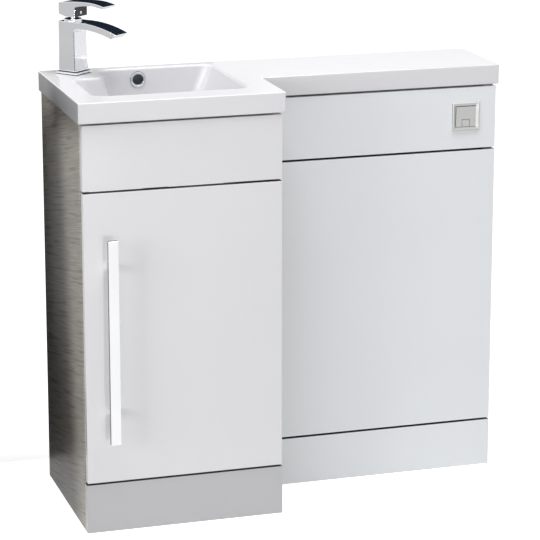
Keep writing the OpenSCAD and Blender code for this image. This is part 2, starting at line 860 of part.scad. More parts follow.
// Union nuts at the trap's inlet and outlet
module trap_nuts() {
    color([0.93, 0.93, 0.92]) {
        translate([waste_x, waste_y, 0]) {
            ring(waste_r + 6, waste_r + still_fit, waste_tail_z - 4, waste_tail_z + 16);
            ring(waste_r + 6, pipe_r + still_fit, waste_tail_z - 8, waste_tail_z - 4);
        }
        translate([waste_x, waste_y, pipe_z]) rotate([-90, 0, 0]) {
            ring(pipe_r + 9, pipe_r + 4 + still_fit, trap_r + 12, trap_r + 32);
            ring(pipe_r + 9, pipe_r + still_fit, trap_r + 32, trap_r + 36);
        }
    }
}

// The dip tube, hung by its flange under the waste
module trap_inlet() {
    color([0.94, 0.94, 0.93]) translate([waste_x, waste_y, 0]) {
        ring(waste_r, pipe_r - 2, waste_tail_z - 3.8, waste_tail_z - 0.1);
        ring(pipe_r, pipe_r - 2, cup_floor_z + 35, waste_tail_z - 3.7);
    }
}

module trap_body() {
    color([0.95, 0.95, 0.94]) translate([waste_x, waste_y, 0]) difference() {
        union() {
            translate([0, 0, cup_top - 14]) cylinder(r = trap_r, h = trap_top - cup_top + 14);
            shaft_y(0, 0, trap_r + 32, pipe_z, pipe_r + 4);
        }
        translate([0, 0, cup_top - 14 - eps])
            cylinder(r = trap_r - 4, h = trap_top - cup_top + 14 - 4 + eps);
        translate([0, 0, trap_top - 6]) cylinder(r = pipe_r + still_fit, h = 8);
        shaft_y(0, 0, trap_r + 6, pipe_z, pipe_r - 2);
        shaft_y(0, trap_r + 5, trap_r + 33, pipe_z, pipe_r + still_fit);
    }
}

// The bottle, screwed up over the trap's body
module trap_cup() {
    color([0.92, 0.92, 0.91]) translate([waste_x, waste_y, 0]) difference() {
        translate([0, 0, cup_floor_z]) cylinder(r = trap_r + 3, h = cup_top - cup_floor_z);
        translate([0, 0, cup_top - 14 - seat_gap])
            cylinder(r = trap_r + still_fit, h = 15 + seat_gap);
        translate([0, 0, cup_floor_z + 4]) cylinder(r = trap_r - 4, h = cup_top - cup_floor_z);
    }
}

module trap_outlet() {
    color([0.94, 0.94, 0.93]) difference() {
        shaft_y(waste_x, waste_y + trap_r + 6, wall_y, pipe_z, pipe_r);
        shaft_y(waste_x, waste_y + trap_r + 5, wall_y + eps, pipe_z, pipe_r - 2);
    }
}

// ---------- tap ----------

inlet_s = 5;
inlet_n = 8;
inlet_r = 4.9;
stud_s = -9.5;
stud_r = 4;
hose_way_r = 14.5;

// Two steps: a wide plate on the deck and a narrower one under the column
module tap_base() {
    color([0.84, 0.86, 0.88]) at_tap() difference() {
        union() {
            linear_extrude(tap_base_h * 0.55) round_rect(tap_base_w, tap_base_w, 1.5);
            translate([0, 0, tap_base_h * 0.5]) linear_extrude(tap_base_h * 0.5)
                round_rect(tap_base_w - 5, tap_base_w - 5, 1.2);
        }
        translate([0, 0, -eps]) cylinder(r = 14, h = tap_base_h + 2 * eps);
    }
}

// Points of an arc in the tap's side profile, between two distances along the spout
function spout_arc(r, s0, s1, n) = [for (i = [0:n]) let (s = s0 + (s1 - s0) * i / n)
    [s, tap_column_h - spout_arc_r + sqrt(r * r - pow(s - spout_arc_s, 2))]];

// Height of the spout's top, and of the outlet's seat under it
function spout_top(s) = tap_column_h - spout_arc_r
    + sqrt(pow(spout_arc_r, 2) - pow(s - spout_arc_s, 2));
outlet_top = spout_top(outlet_s + outlet_r) - outlet_wall;

// The waterway falls along the spout from the cartridge to the outlet's seat
module waterway() {
    fall = atan((way_start - outlet_top - 0.3) / outlet_s);
    translate([0, 0, way_start]) rotate([0, 90 + fall, 0])
        cylinder(r = way_r, h = outlet_s / cos(fall));
}

// How far the column's foot widens, from nothing at the flare's top to 'out' at the base plate
flare_h = 58;
function flare(side, out) = [for (i = [0:6])
    [side + out * pow(i / 6, 2), tap_base_h + flare_h * (1 - i / 6)]];
function mirrored(points) = [for (i = [len(points) - 1:-1:0]) [-points[i][0], points[i][1]]];

module tap_body() {
    root_r = 9;
    under_z = tap_column_h - spout_t;
    half = tap_w / 2;
    foot_side = concat([[half, tap_column_h + 1]], flare(half, (tap_foot_w - tap_w) / 2),
        [[tap_foot_w / 2, tap_base_h - 1]]);
    profile = concat(
        [[column_back, tap_column_h], [spout_arc_s, tap_column_h]],
        spout_arc(spout_arc_r, spout_arc_s + 8, spout_reach, 12),
        spout_arc(spout_under_r, spout_reach - spout_tip_cut, column_front + root_r + 4, 10),
        [for (a = [90:15:180]) [column_front + root_r + root_r * cos(a),
            under_z - root_r + root_r * sin(a) - 0.2]],
        flare(column_front, 2), [[column_back, tap_base_h]]);
    color([0.84, 0.86, 0.88]) at_tap() difference() {
        intersection() {
            tap_profile(tap_foot_w + 1) polygon(profile);
            translate([column_back - 1, 0, 0]) rotate([90, 0, 90])
                linear_extrude(spout_reach - column_back + 2)
                polygon(concat(foot_side, mirrored(foot_side)));
        }
        // seat of the cartridge, waterway and outlet
        translate([0, 0, tap_column_h - cartridge_h]) cylinder(r = cartridge_r + still_fit,
            h = cartridge_h + eps);
        waterway();
        translate([outlet_s, 0, outlet_top - 31]) cylinder(r = outlet_r, h = 31);
        // inlets and the stud's thread in the foot
        for (i = [-1, 1]) translate([inlet_s, i * inlet_n, tap_base_h - eps])
            cylinder(r = inlet_r, h = 16 + eps);
        translate([stud_s, 0, tap_base_h - eps]) cylinder(r = stud_r + still_fit, h = 22 + eps);
    }
}

module tap_aerator() {
    mouth_z = tap_column_h - outlet_drop;
    color([0.75, 0.76, 0.78]) at_tap() translate([outlet_s, 0, 0]) difference() {
        translate([0, 0, mouth_z])
            cylinder(r = outlet_r - still_fit, h = outlet_top - seat_gap - mouth_z);
        translate([0, 0, mouth_z - eps]) cylinder(r = outlet_r - 3, h = 5 + eps);
        for (a = [0:60:300]) rotate([0, 0, a]) translate([4.5, 0, mouth_z + 4])
            cylinder(r = 1.5, h = 6, $fn = 16);
    }
}

// The ceramic cartridge, with the bore in which the spindle turns
module tap_cartridge() {
    color([0.30, 0.30, 0.32]) at_tap() difference() {
        translate([0, 0, tap_column_h - cartridge_h + seat_gap])
            cylinder(r = cartridge_r, h = cartridge_h - 2 - seat_gap);
        translate([0, 0, tap_column_h - 20]) cylinder(r = spindle_r + run_fit, h = 30);
    }
}

module tap_collar() {
    color([0.84, 0.86, 0.88]) at_tap() {
        ring(cartridge_r + 1.5, spindle_r + 3, collar_z, collar_z + collar_h);
        ring(cartridge_r - 0.2, spindle_r + 3, collar_z - 2, collar_z + 1);
    }
}

// The spindle turns for heat and carries the lever's cross pin
module tap_spindle() {
    color([0.55, 0.56, 0.58]) at_tap() {
        translate([0, 0, tap_column_h - 19.5]) cylinder(r = spindle_r, h = 17.5);
        translate([0, 0, tap_column_h - 2.5]) cylinder(r = spindle_r - 0.6,
            h = lift_z - tap_column_h + 5.5);
        translate([0, 12, lift_z]) rotate([90, 0, 0]) cylinder(r = lift_pin_r, h = 24);
    }
}

// The lever: a block over the spindle and a thin arched blade
module tap_lever() {
    back = -block_l / 2;
    front = block_l / 2;
    blade_end_r = 150;
    blade_rear_r = 510;
    top = concat(
        [for (i = [0:6]) let (s = back + (blade_peak_s - back) * i / 6)
            [s, blade_peak_z - blade_rear_r + sqrt(pow(blade_rear_r, 2) - pow(s - blade_peak_s, 2))]],
        [for (i = [1:8]) let (s = blade_peak_s + (lever_reach - blade_peak_s) * i / 8)
            [s, blade_peak_z - blade_end_r + sqrt(pow(blade_end_r, 2) - pow(s - blade_peak_s, 2))]]);
    tip = top[len(top) - 1];
    // room for the spindle, also when the lever is lifted
    room_l = (lift_z - block_z) * sin(lever_lift) + spindle_r / cos(lever_lift) + lever_clear;
    profile = concat(top,
        [[tip[0] - 1.5, tip[1] - 4], [(front + lever_reach) / 2 + 6, blade_peak_z - 6],
         [front + 14, blade_peak_z - 9], [front, block_z + 20], [front, block_z],
         [back + 16, block_z], [back, block_z + 4.5]]);
    color([0.84, 0.86, 0.88]) at_tap() difference() {
        tap_profile(tap_w) polygon(profile);
        // hollow over the spindle and collar, and the cross pin's bore
        translate([-room_l, -room_w / 2, block_z - eps])
            cube([2 * room_l, room_w, lift_z + 6 - block_z + eps]);
        translate([0, 13, lift_z]) rotate([90, 0, 0]) cylinder(r = lift_pin_r + run_fit, h = 26);
        shaft_x(front - 3, front + 1, 0, lift_z - 3, 3 + still_fit);
    }
}

module tap_lever_cap() {
    color([0.80, 0.81, 0.83]) at_tap()
        shaft_x(block_l / 2 - 2.8, block_l / 2 + 0.4, 0, lift_z - 3, 3);
}

// Stud, clamping washer and nut under the deck
module tap_fixing() {
    under = -deck_t;
    color([0.78, 0.70, 0.48]) at_tap() {
        translate([stud_s, 0, under - 26]) cylinder(r = stud_r, h = 26 + deck_t + tap_base_h + 20);
        difference() {
            translate([0, 0, under - 3]) cylinder(r = 20, h = 3);
            translate([inlet_s + 2, 0, under - 4]) cylinder(r = hose_way_r, h = 5);
            translate([stud_s, 0, under - 4]) cylinder(r = stud_r - 0.3, h = 5);
        }
        difference() {
            translate([stud_s, 0, under - 11]) cylinder(r = 7.5, h = 8, $fn = 6);
            translate([stud_s, 0, under - 12]) cylinder(r = stud_r - 0.3, h = 10);
        }
    }
}

// ---------- cistern ----------

module cistern_tank() {
    color([0.92, 0.92, 0.92]) difference() {
        translate([tank_x, tank_mid_y, tank_z]) linear_extrude(tank_h)
            round_rect(tank_w, tank_d, 18);
        translate([tank_x, tank_mid_y, tank_floor_z]) linear_extrude(tank_h)
            round_rect(tank_w - 2 * tank_t, tank_d - 2 * tank_t, 18 - tank_t);
        translate([tank_x, tank_mid_y, tank_z - eps]) cylinder(r = valve_r + still_fit, h = 8);
        translate([fill_x, tank_mid_y, tank_z - eps]) cylinder(r = fill_r + still_fit, h = 8);
        for (x = tank_screw_xs)
            shaft_y(x, tank_back_y - tank_t - eps, tank_back_y + eps, tank_screw_z,
                screw_r + still_fit);
    }
}

lid_t = 5;

module cistern_lid() {
    color([0.90, 0.90, 0.90]) translate([tank_x, tank_mid_y, tank_top_z]) {
        linear_extrude(lid_t) round_rect(tank_w + 4, tank_d, 18);
        translate([0, 0, -8]) linear_extrude(8 + eps) difference() {
            round_rect(tank_w - 2 * tank_t - 1, tank_d - 2 * tank_t - 1, 17 - tank_t);
            round_rect(tank_w - 2 * tank_t - 7, tank_d - 2 * tank_t - 7, 15 - tank_t);
        }
    }
}

module cistern_screws() {
    color([0.70, 0.70, 0.72]) for (x = tank_screw_xs) {
        shaft_y(x, tank_back_y - tank_t, tank_back_y + tank_screw_bite, tank_screw_z, screw_r);
        shaft_y(x, tank_back_y - tank_t - 3, tank_back_y - tank_t, tank_screw_z, screw_r * 3);
    }
}

cage_h = 205;
cage_top = tank_floor_z + cage_h;
seat_z = tank_floor_z + 8;
valve_bore_r = 17;
valve_flange_r = 36;
core_bore_r = 15;
seal_r = 26;
float_h = 60;
float_r = 27;
float_wall = 2.5;
valve_head_r = 15;
valve_head_h = 26;

// The flush valve's fixed part: spigot and nut through the tank's floor, seat and guide cage
module flush_valve() {
    color([0.88, 0.90, 0.94]) translate([tank_x, tank_mid_y, 0]) {
        ring(valve_r, valve_bore_r, spigot_z, tank_floor_z + 1);
        ring(valve_flange_r, valve_bore_r, tank_floor_z, tank_floor_z + 4);
        ring(valve_bore_r + 3, valve_bore_r, tank_floor_z + 3, seat_z);
        ring(valve_flange_r - 2, valve_r + still_fit, tank_z - 9, tank_z);
        ring(valve_flange_r - 2, core_r + run_fit, cage_top, cage_top + 10);
        for (a = [45:90:315]) rotate([0, 0, a])
            translate([valve_flange_r - 5.5, 0, tank_floor_z + 3]) cylinder(r = 3, h = cage_h);
        // two nozzles for the buttons' air hoses
        for (i = [-1, 1]) translate([i * 27, 0, cage_top + 9]) cylinder(r = 3, h = 13);
    }
}

// The lifting core: seal disc and overflow tube in one. The tube stands above its guide by
// the lift and 22 mm more.
module flush_core() {
    color([0.45, 0.60, 0.80]) translate([tank_x, tank_mid_y, 0]) {
        ring(seal_r, core_bore_r, seat_z + seat_gap, seat_z + 5);
        ring(core_r, core_bore_r, seat_z + 4, cage_top + 22 + flush_lift);
    }
}

// The fill valve's tail: a plain end for the supply's union, then a relief and a shoulder
tail_r = fill_r - 0.6;
tail_l = 22;
tail_end_z = tank_z - 34;
shoulder_z = tail_end_z + tail_l + 2;

// The fill valve: tail, nut, column with a stop collar, and the valve head
module fill_valve() {
    head_z = float_z + float_h + float_travel + 6;
    color([0.90, 0.90, 0.92]) translate([fill_x, tank_mid_y, 0]) {
        difference() {
            union() {
                translate([0, 0, shoulder_z]) cylinder(r = fill_r, h = head_z - shoulder_z + 1);
                translate([0, 0, shoulder_z - 2.5]) cylinder(r = tail_r - 0.8, h = 3);
                translate([0, 0, tail_end_z]) cylinder(r = tail_r, h = tail_l);
            }
            translate([0, 0, tail_end_z - 1]) cylinder(r = 5, h = head_z - tail_end_z - 4);
        }
        ring(fill_r * 2, fill_r - 1, tank_floor_z, tank_floor_z + 4);
        ring(fill_r + 7, fill_r + still_fit, tank_z - 8, tank_z);
        ring(fill_r + 4, fill_r - 1, float_z - 6, float_z - seat_gap);
        translate([0, 0, head_z]) cylinder(r = valve_head_r, h = valve_head_h);
    }
}

// The float cup slides on the fill valve's column
module fill_float() {
    color([0.25, 0.35, 0.55]) translate([fill_x, tank_mid_y, 0]) difference() {
        translate([0, 0, float_z]) cylinder(r = float_r, h = float_h);
        translate([0, 0, float_z - eps]) cylinder(r = fill_r + run_fit, h = float_h + 2);
        difference() {
            translate([0, 0, float_z - eps]) cylinder(r = float_r - float_wall, h = float_h - 3);
            translate([0, 0, float_z - 2 * eps]) cylinder(r = fill_r + 3, h = float_h + 2);
        }
    }
}

// The flush bend: down from the valve, then forward towards the pan's place
module flush_pipe() {
    inner = flush_pipe_r - 2;
    end_y = tank_mid_y - flush_bend_r - 16;
    bend_z = flush_turn_z;
    color([0.93, 0.93, 0.93]) {
        translate([tank_x, tank_mid_y, 0]) {
            ring(flush_pipe_r, inner, bend_z, spigot_z - 0.1);
            ring(valve_r + 6, inner, spigot_z - 6, spigot_z - 0.1);
            ring(valve_r + 6, valve_r + still_fit, spigot_z - 1, spigot_z + 22);
        }
        translate([tank_x, tank_mid_y - flush_bend_r, bend_z]) rotate([90, 0, 90])
            rotate([180, 0, 0]) rotate_extrude(angle = 90)
                translate([flush_bend_r, 0]) difference() {
                    circle(flush_pipe_r);
                    circle(inner);
                }
        translate([tank_x, end_y, bend_z - flush_bend_r]) rotate([-90, 0, 0])
            ring(flush_pipe_r, inner, 0, tank_mid_y - flush_bend_r - end_y);
    }
}

// ---------- flush plate ----------

// Moves children's flat shapes upright, from y0 towards the wall
module plate_solid(y0, y1) {
    translate([plate_x, y1, plate_z]) rotate([90, 0, 0]) linear_extrude(y1 - y0) children();
}

// Square frame on the panel's face, with a sleeve through the panel
module flush_frame() {
    color([0.78, 0.79, 0.80]) {
        plate_solid(wc_face_y - plate_t, wc_face_y) difference() {
            square(plate_w, center = true);
            square(button_w + 2 * button_gap, center = true);
        }
        plate_solid(wc_face_y - 1, guide_y1) difference() {
            square(sleeve_w, center = true);
            square(button_w + 2 * button_gap, center = true);
        }
    }
}

// Clamping frame on the panel's back
module flush_clamp() {
    color([0.30, 0.30, 0.32]) plate_solid(wc_edge_y, wc_edge_y + 5) difference() {
        square(plate_w, center = true);
        square(sleeve_w + 2 * still_fit, center = true);
    }
}

module half_outline(grow) {
    translate([0, (half_h - button_w) / 2 - grow / 2])
        square([half_w + 2 * grow, half_h + grow], center = true);
}

module flush_button_full() {
    color([0.85, 0.86, 0.87]) {
        plate_solid(button_face_y, button_face_y + button_t) difference() {
            square(button_w, center = true);
            half_outline(button_gap);
            translate([0, -button_w / 2]) square([half_w + 2 * button_gap, 1], center = true);
        }
        shaft_y(plate_x, button_face_y + 1, guide_y1 - 1, full_stem_z, full_stem_r);
    }
}

module flush_button_half() {
    color([0.83, 0.84, 0.85]) {
        plate_solid(button_face_y, button_face_y + button_t) half_outline(0);
        shaft_y(plate_x, button_face_y + 1, guide_y1 - 1, half_z, half_stem_r);
    }
}

// Air pump block behind the buttons: guides the stems and holds two hose nozzles
module flush_bellows() {
    back = guide_y1 + button_travel + 4;
    color([0.25, 0.25, 0.28]) difference() {
        union() {
            plate_solid(guide_y0, guide_y1)
                square(button_w + 2 * button_gap - 2 * still_fit, center = true);
            plate_solid(guide_y1 - eps, back) square(button_w - 2, center = true);
            for (z = [full_stem_z, half_z]) shaft_y(plate_x, back - 1, back + 12, z, 3);
        }
        shaft_y(plate_x, guide_y0 - 1, guide_y1 + button_travel + 1, full_stem_z,
            full_stem_r + run_fit);
        shaft_y(plate_x, guide_y0 - 1, guide_y1 + button_travel + 1, half_z,
            half_stem_r + run_fit);
        for (z = [full_stem_z, half_z]) shaft_y(plate_x, guide_y1, back + 13, z, 1.5);
    }
}

basin_side_left();
basin_side_right();
basin_base();
basin_shelf();
shelf_pins();
basin_back_rails();
basin_front_rail();
basin_fascia();
basin_plinth();
plinth_blocks();
cabinet_screws();
door_panel();
door_handle();
handle_screws();
door_buffers();
hinge_cups();
hinge_links();
hinge_arms();
hinge_plates();
wc_side_left();
wc_side_right();
wc_back_rails();
wc_front_rails();
wc_upper_panel();
wc_lower_panel();
wc_plinth();
basin_top();
basin_bowl();
overflow_ring();
waste_body();
waste_seal();
waste_nut();
waste_plug();
trap_nuts();
trap_inlet();
trap_body();
trap_cup();
trap_outlet();
tap_base();
tap_body();
tap_aerator();
tap_cartridge();
tap_collar();
tap_spindle();
tap_lever();
tap_lever_cap();
tap_fixing();
cistern_tank();
cistern_lid();
cistern_screws();
flush_valve();
flush_core();
fill_valve();
fill_float();
flush_pipe();
flush_frame();
flush_clamp();
flush_button_full();
flush_button_half();
flush_bellows();
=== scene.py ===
"""Toilet and basin combination unit: what shows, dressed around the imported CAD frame.

The frame's own numbers are in metres. Sizes in this file are written in millimetres, in the same
frame as part.scad: X to the right, the wall at +Y, the fronts at -Y, and Z up from the floor. The
studio round the object is written in metres.
"""

import json
import logging
import math
from dataclasses import dataclass, field
from enum import Enum
from typing import Callable, Iterable, Sequence

import bmesh
import bpy
from mathutils import Matrix, Vector


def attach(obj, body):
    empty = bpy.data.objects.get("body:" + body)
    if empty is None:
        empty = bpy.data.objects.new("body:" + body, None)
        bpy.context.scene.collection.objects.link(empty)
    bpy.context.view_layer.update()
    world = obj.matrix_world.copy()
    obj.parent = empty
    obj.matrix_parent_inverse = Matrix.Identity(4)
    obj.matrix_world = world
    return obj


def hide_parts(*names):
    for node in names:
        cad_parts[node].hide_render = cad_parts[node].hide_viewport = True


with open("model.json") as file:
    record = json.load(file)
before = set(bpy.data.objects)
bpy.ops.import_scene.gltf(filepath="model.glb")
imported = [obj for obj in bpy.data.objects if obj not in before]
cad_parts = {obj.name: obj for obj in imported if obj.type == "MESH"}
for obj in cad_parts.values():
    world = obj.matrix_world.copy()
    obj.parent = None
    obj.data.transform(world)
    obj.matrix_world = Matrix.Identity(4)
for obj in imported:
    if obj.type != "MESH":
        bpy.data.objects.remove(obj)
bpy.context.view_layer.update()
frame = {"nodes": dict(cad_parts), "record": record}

LOG = logging.getLogger("unit")
MM = 0.001
Flat = tuple[float, float]
Point = tuple[float, float, float]
Colour = tuple[float, float, float]

# Heights that several pieces share.
PLINTH_TOP = 98.0
PANEL_TOP = 676.0
# The middle of the tap's foot on the deck and the spout's direction, in degrees from +X.
TAP_FOOT = (-389.5, 154.5, 850.0)
TAP_ANGLE = -50.0
# The middles of the waste on the bowl's floor and of the overflow on its back wall.
WASTE = (-254.5, 47.5, 735.0)
OVERFLOW = (-254.5, 174.5, 826.0)


class Body(Enum):
    """The CAD bodies that pieces ride on."""

    UNIT = "unit"
    DOOR = "door"
    LEVER = "tap_lever"
    FULL = "button_full"
    HALF = "button_half"
    PLUG = "plug"


class Pattern(Enum):
    """What a finish's colour, roughness and bump are made of."""

    LACQUER = "lacquer"
    CERAMIC = "ceramic"
    GRAIN = "grain"
    MELAMINE = "melamine"
    POLISHED = "polished"
    BRUSHED = "brushed"
    MOULDED = "moulded"
    TIMBER = "timber"


# ---------------------------------------------------------------- node building


class Sock:
    """An output socket whose arithmetic adds Math nodes to its tree."""

    def __init__(self, graph: "Graph", socket: bpy.types.NodeSocket) -> None:
        """Wraps a socket of a graph's node."""
        self.graph = graph
        self.socket = socket

    def math(self, operation: str, other: "Sock | float | None" = None) -> "Sock":
        """Adds a Math node.

        Args:
            operation: Blender's name of the operation, such as MULTIPLY.
            other: the second value, if the operation has one.

        Returns:
            The node's output.
        """
        inputs = {0: self} if other is None else {0: self, 1: other}
        return self.graph.node("ShaderNodeMath", inputs, operation=operation)

    def __add__(self, other: "Sock | float") -> "Sock":
        """Sum."""
        return self.math("ADD", other)

    def __radd__(self, other: float) -> "Sock":
        """Sum with a number in front."""
        return self + other

    def __sub__(self, other: "Sock | float") -> "Sock":
        """Difference."""
        return self.math("SUBTRACT", other)

    def __rsub__(self, other: float) -> "Sock":
        """What is left of a number, such as 1 - mask."""
        return self.graph.node("ShaderNodeMath", {0: other, 1: self}, operation="SUBTRACT")

    def __mul__(self, other: "Sock | float") -> "Sock":
        """Product."""
        return self.math("MULTIPLY", other)

    def __rmul__(self, other: float) -> "Sock":
        """Product with a number in front."""
        return self * other

    def about(self, gain: float, middle: "Sock | float") -> "Sock":
        """This value with its swing about 0.5 multiplied by gain and moved to middle."""
        return (self - 0.5) * gain + middle

    def beside(self, name: str) -> "Sock":
        """Another output of the same node."""
        return Sock(self.graph, self.socket.node.outputs[name])

    def clamp(self) -> "Sock":
        """This value, held between 0 and 1."""
        return self.graph.node("ShaderNodeClamp", {"Value": self})


Value = Sock | float | Sequence[float] | bpy.types.Material


class Graph:
    """A node tree and the one method that adds nodes to it."""

    def __init__(self, tree: bpy.types.NodeTree) -> None:
        """Starts on an emptied tree."""
        self.tree = tree
        tree.nodes.clear()

    def node(self, kind: str, inputs: dict | None = None, out: int | str = 0,
             **props: object) -> Sock:
        """Adds a node and fills its inputs.

        Args:
            kind: the node's type name.
            inputs: values or sockets by input name or number.
            out: the name or number of the output that is returned.
            **props: the node's own settings.

        Returns:
            The chosen output.
        """
        made = self.tree.nodes.new(kind)
        for key, value in props.items():
            setattr(made, key, value)
        for key, value in (inputs or {}).items():
            self.put(made.inputs[key], value)
        return Sock(self, made.outputs[out]) if made.outputs else Sock(self, None)

    def put(self, target: bpy.types.NodeSocket, value: Value) -> None:
        """Links a socket or sets a constant.

        Args:
            target: the input to fill.
            value: an output to link, or a plain value.
        """
        if isinstance(value, Sock):
            self.tree.links.new(value.socket, target)
        elif isinstance(value, (tuple, list)) and len(value) == 3 and target.type == "RGBA":
            target.default_value = (*value, 1.0)
        else:
            target.default_value = value


# ---------------------------------------------------------------- finishes


@dataclass(frozen=True)
class Finish:
    """A surface's look.

    colour is linear. spread is the share by which the colour varies, grain the size in
    millimetres of its fine pattern, bump the height of that pattern in millimetres, and slant the
    angle in radians by which a wood grain leaves the level. edges holds the heights in millimetres
    of upper edges that end at a gap and take painted shade.
    """

    name: str
    colour: Colour
    pattern: Pattern
    roughness: float
    metallic: float = 0.0
    coat: float = 0.0
    coat_roughness: float = 0.04
    ior: float = 1.5
    spread: float = 0.02
    grain: float = 4.0
    bump: float = 0.01
    slant: float = 0.0
    edges: tuple[float, ...] = ()


class Paint(Enum):
    """Every finish on the unit."""

    BASIN_FRONT = Finish("basin_front_lacquer", (0.748, 0.742, 0.757), Pattern.LACQUER, 0.16,
                         coat=0.35)
    # Painted shade: the door's lacquer made darker to stand for the shade on the plinth, with
    # painted shade on its top edge at the gap.
    SHADED_PLINTH = Finish("basin_plinth_shaded_lacquer", (0.51, 0.505, 0.52), Pattern.LACQUER, 0.2,
                          coat=0.3, edges=(PLINTH_TOP,))
    # The WC fronts take painted shade on their upper edges at the plinth and panel gaps.
    WC_FRONT = Finish("wc_front_lacquer", (0.835, 0.858, 0.885), Pattern.LACQUER, 0.16,
                      coat=0.35, edges=(PLINTH_TOP, PANEL_TOP))
    BASIN_SIDE = Finish("basin_side_grain", (0.415, 0.39, 0.35), Pattern.GRAIN, 0.36,
                        spread=0.36, grain=0.9, slant=0.22)
    WC_SIDE = Finish("wc_side_board", (0.68, 0.70, 0.72), Pattern.MELAMINE, 0.42, grain=0.8)
    # Painted shade: near black on the front rails and the door's top edge, which show only through
    # the gaps, to stand for the shade in them.
    PAINTED_GAP_SHADE = Finish("rail_painted_gap_shade", (0.05, 0.05, 0.055), Pattern.MELAMINE, 0.5,
                  spread=0.15, grain=0.8)
    INSIDE = Finish("inner_melamine", (0.68, 0.68, 0.665), Pattern.MELAMINE, 0.48, grain=0.8)
    BATTEN = Finish("batten_softwood", (0.55, 0.42, 0.26), Pattern.TIMBER, 0.62,
                    spread=0.3, grain=2.5)
    TOP = Finish("top_white_gloss", (0.74, 0.737, 0.76), Pattern.CERAMIC, 0.24,
                 coat=0.15, coat_roughness=0.16, spread=0.01, grain=14.0)
    CHROME = Finish("polished_chrome", (0.86, 0.87, 0.89), Pattern.POLISHED, 0.05, metallic=1.0)
    HANDLE = Finish("handle_chrome", (0.86, 0.865, 0.88), Pattern.POLISHED, 0.11, metallic=1.0)
    SATIN = Finish("satin_chrome", (0.53, 0.532, 0.525), Pattern.BRUSHED, 0.33,
                   metallic=1.0, grain=0.7)
    # Painted dark reflection on the lever block's front face.
    LEVER_DARK_REFLECTION = Finish("lever_painted_reflection", (0.02, 0.022, 0.026), Pattern.MOULDED, 0.14, spread=0.1)
    # Painted shade for the tap foot's seams, the walls of the flush plate's opening and the
    # overflow ring's edges.
    PAINTED_SHADE = Finish("seam_shade", (0.09, 0.10, 0.125), Pattern.MOULDED, 0.5, spread=0.1)
    # Painted shade in the overflow's channel, seen through the overflow hole.
    CHANNEL_SHADE = Finish("overflow_channel_shade", (0.24, 0.27, 0.33), Pattern.MOULDED, 0.5, spread=0.1)
    # Painted dark reflection on chrome: the column's front arrises and the handle bar's left and
    # top faces.
    DARK_REFLECTION_EDGE = Finish("chrome_painted_dark_reflection", (0.13, 0.135, 0.15), Pattern.POLISHED, 0.25, metallic=1.0)
    ZINC = Finish("zinc_plate", (0.56, 0.57, 0.60), Pattern.BRUSHED, 0.33,
                  metallic=1.0, spread=0.12)
    NICKEL = Finish("nickel_plate", (0.62, 0.61, 0.58), Pattern.BRUSHED, 0.24,
                    metallic=1.0, spread=0.08)
    BRASS = Finish("turned_brass", (0.62, 0.45, 0.18), Pattern.BRUSHED, 0.3,
                   metallic=1.0, spread=0.15, grain=0.6)
    WHITE = Finish("white_plastic", (0.80, 0.80, 0.78), Pattern.MOULDED, 0.38, grain=0.9)
    TANK = Finish("tank_plastic", (0.76, 0.76, 0.76), Pattern.MOULDED, 0.5, grain=1.6, bump=0.03)
    PALE = Finish("pale_plastic", (0.70, 0.74, 0.80), Pattern.MOULDED, 0.32)
    BLUE = Finish("blue_plastic", (0.10, 0.21, 0.45), Pattern.MOULDED, 0.34, spread=0.06)
    DARK = Finish("dark_plastic", (0.045, 0.045, 0.052), Pattern.MOULDED, 0.45, spread=0.2)
    RUBBER = Finish("black_rubber", (0.018, 0.018, 0.018), Pattern.MOULDED, 0.72,
                    spread=0.3, bump=0.03)
    BUFFER = Finish("soft_buffer", (0.66, 0.68, 0.70), Pattern.MOULDED, 0.3)


@dataclass(frozen=True)
class Noise:
    """A noise field.

    stretch says how much finer it runs along X, Y and Z. detail is its octaves, and cells its
    cells per metre, or None where a finish's grain sets them.
    """

    stretch: Point = (1.0, 1.0, 1.0)
    detail: float = 2.0
    cells: float | None = None


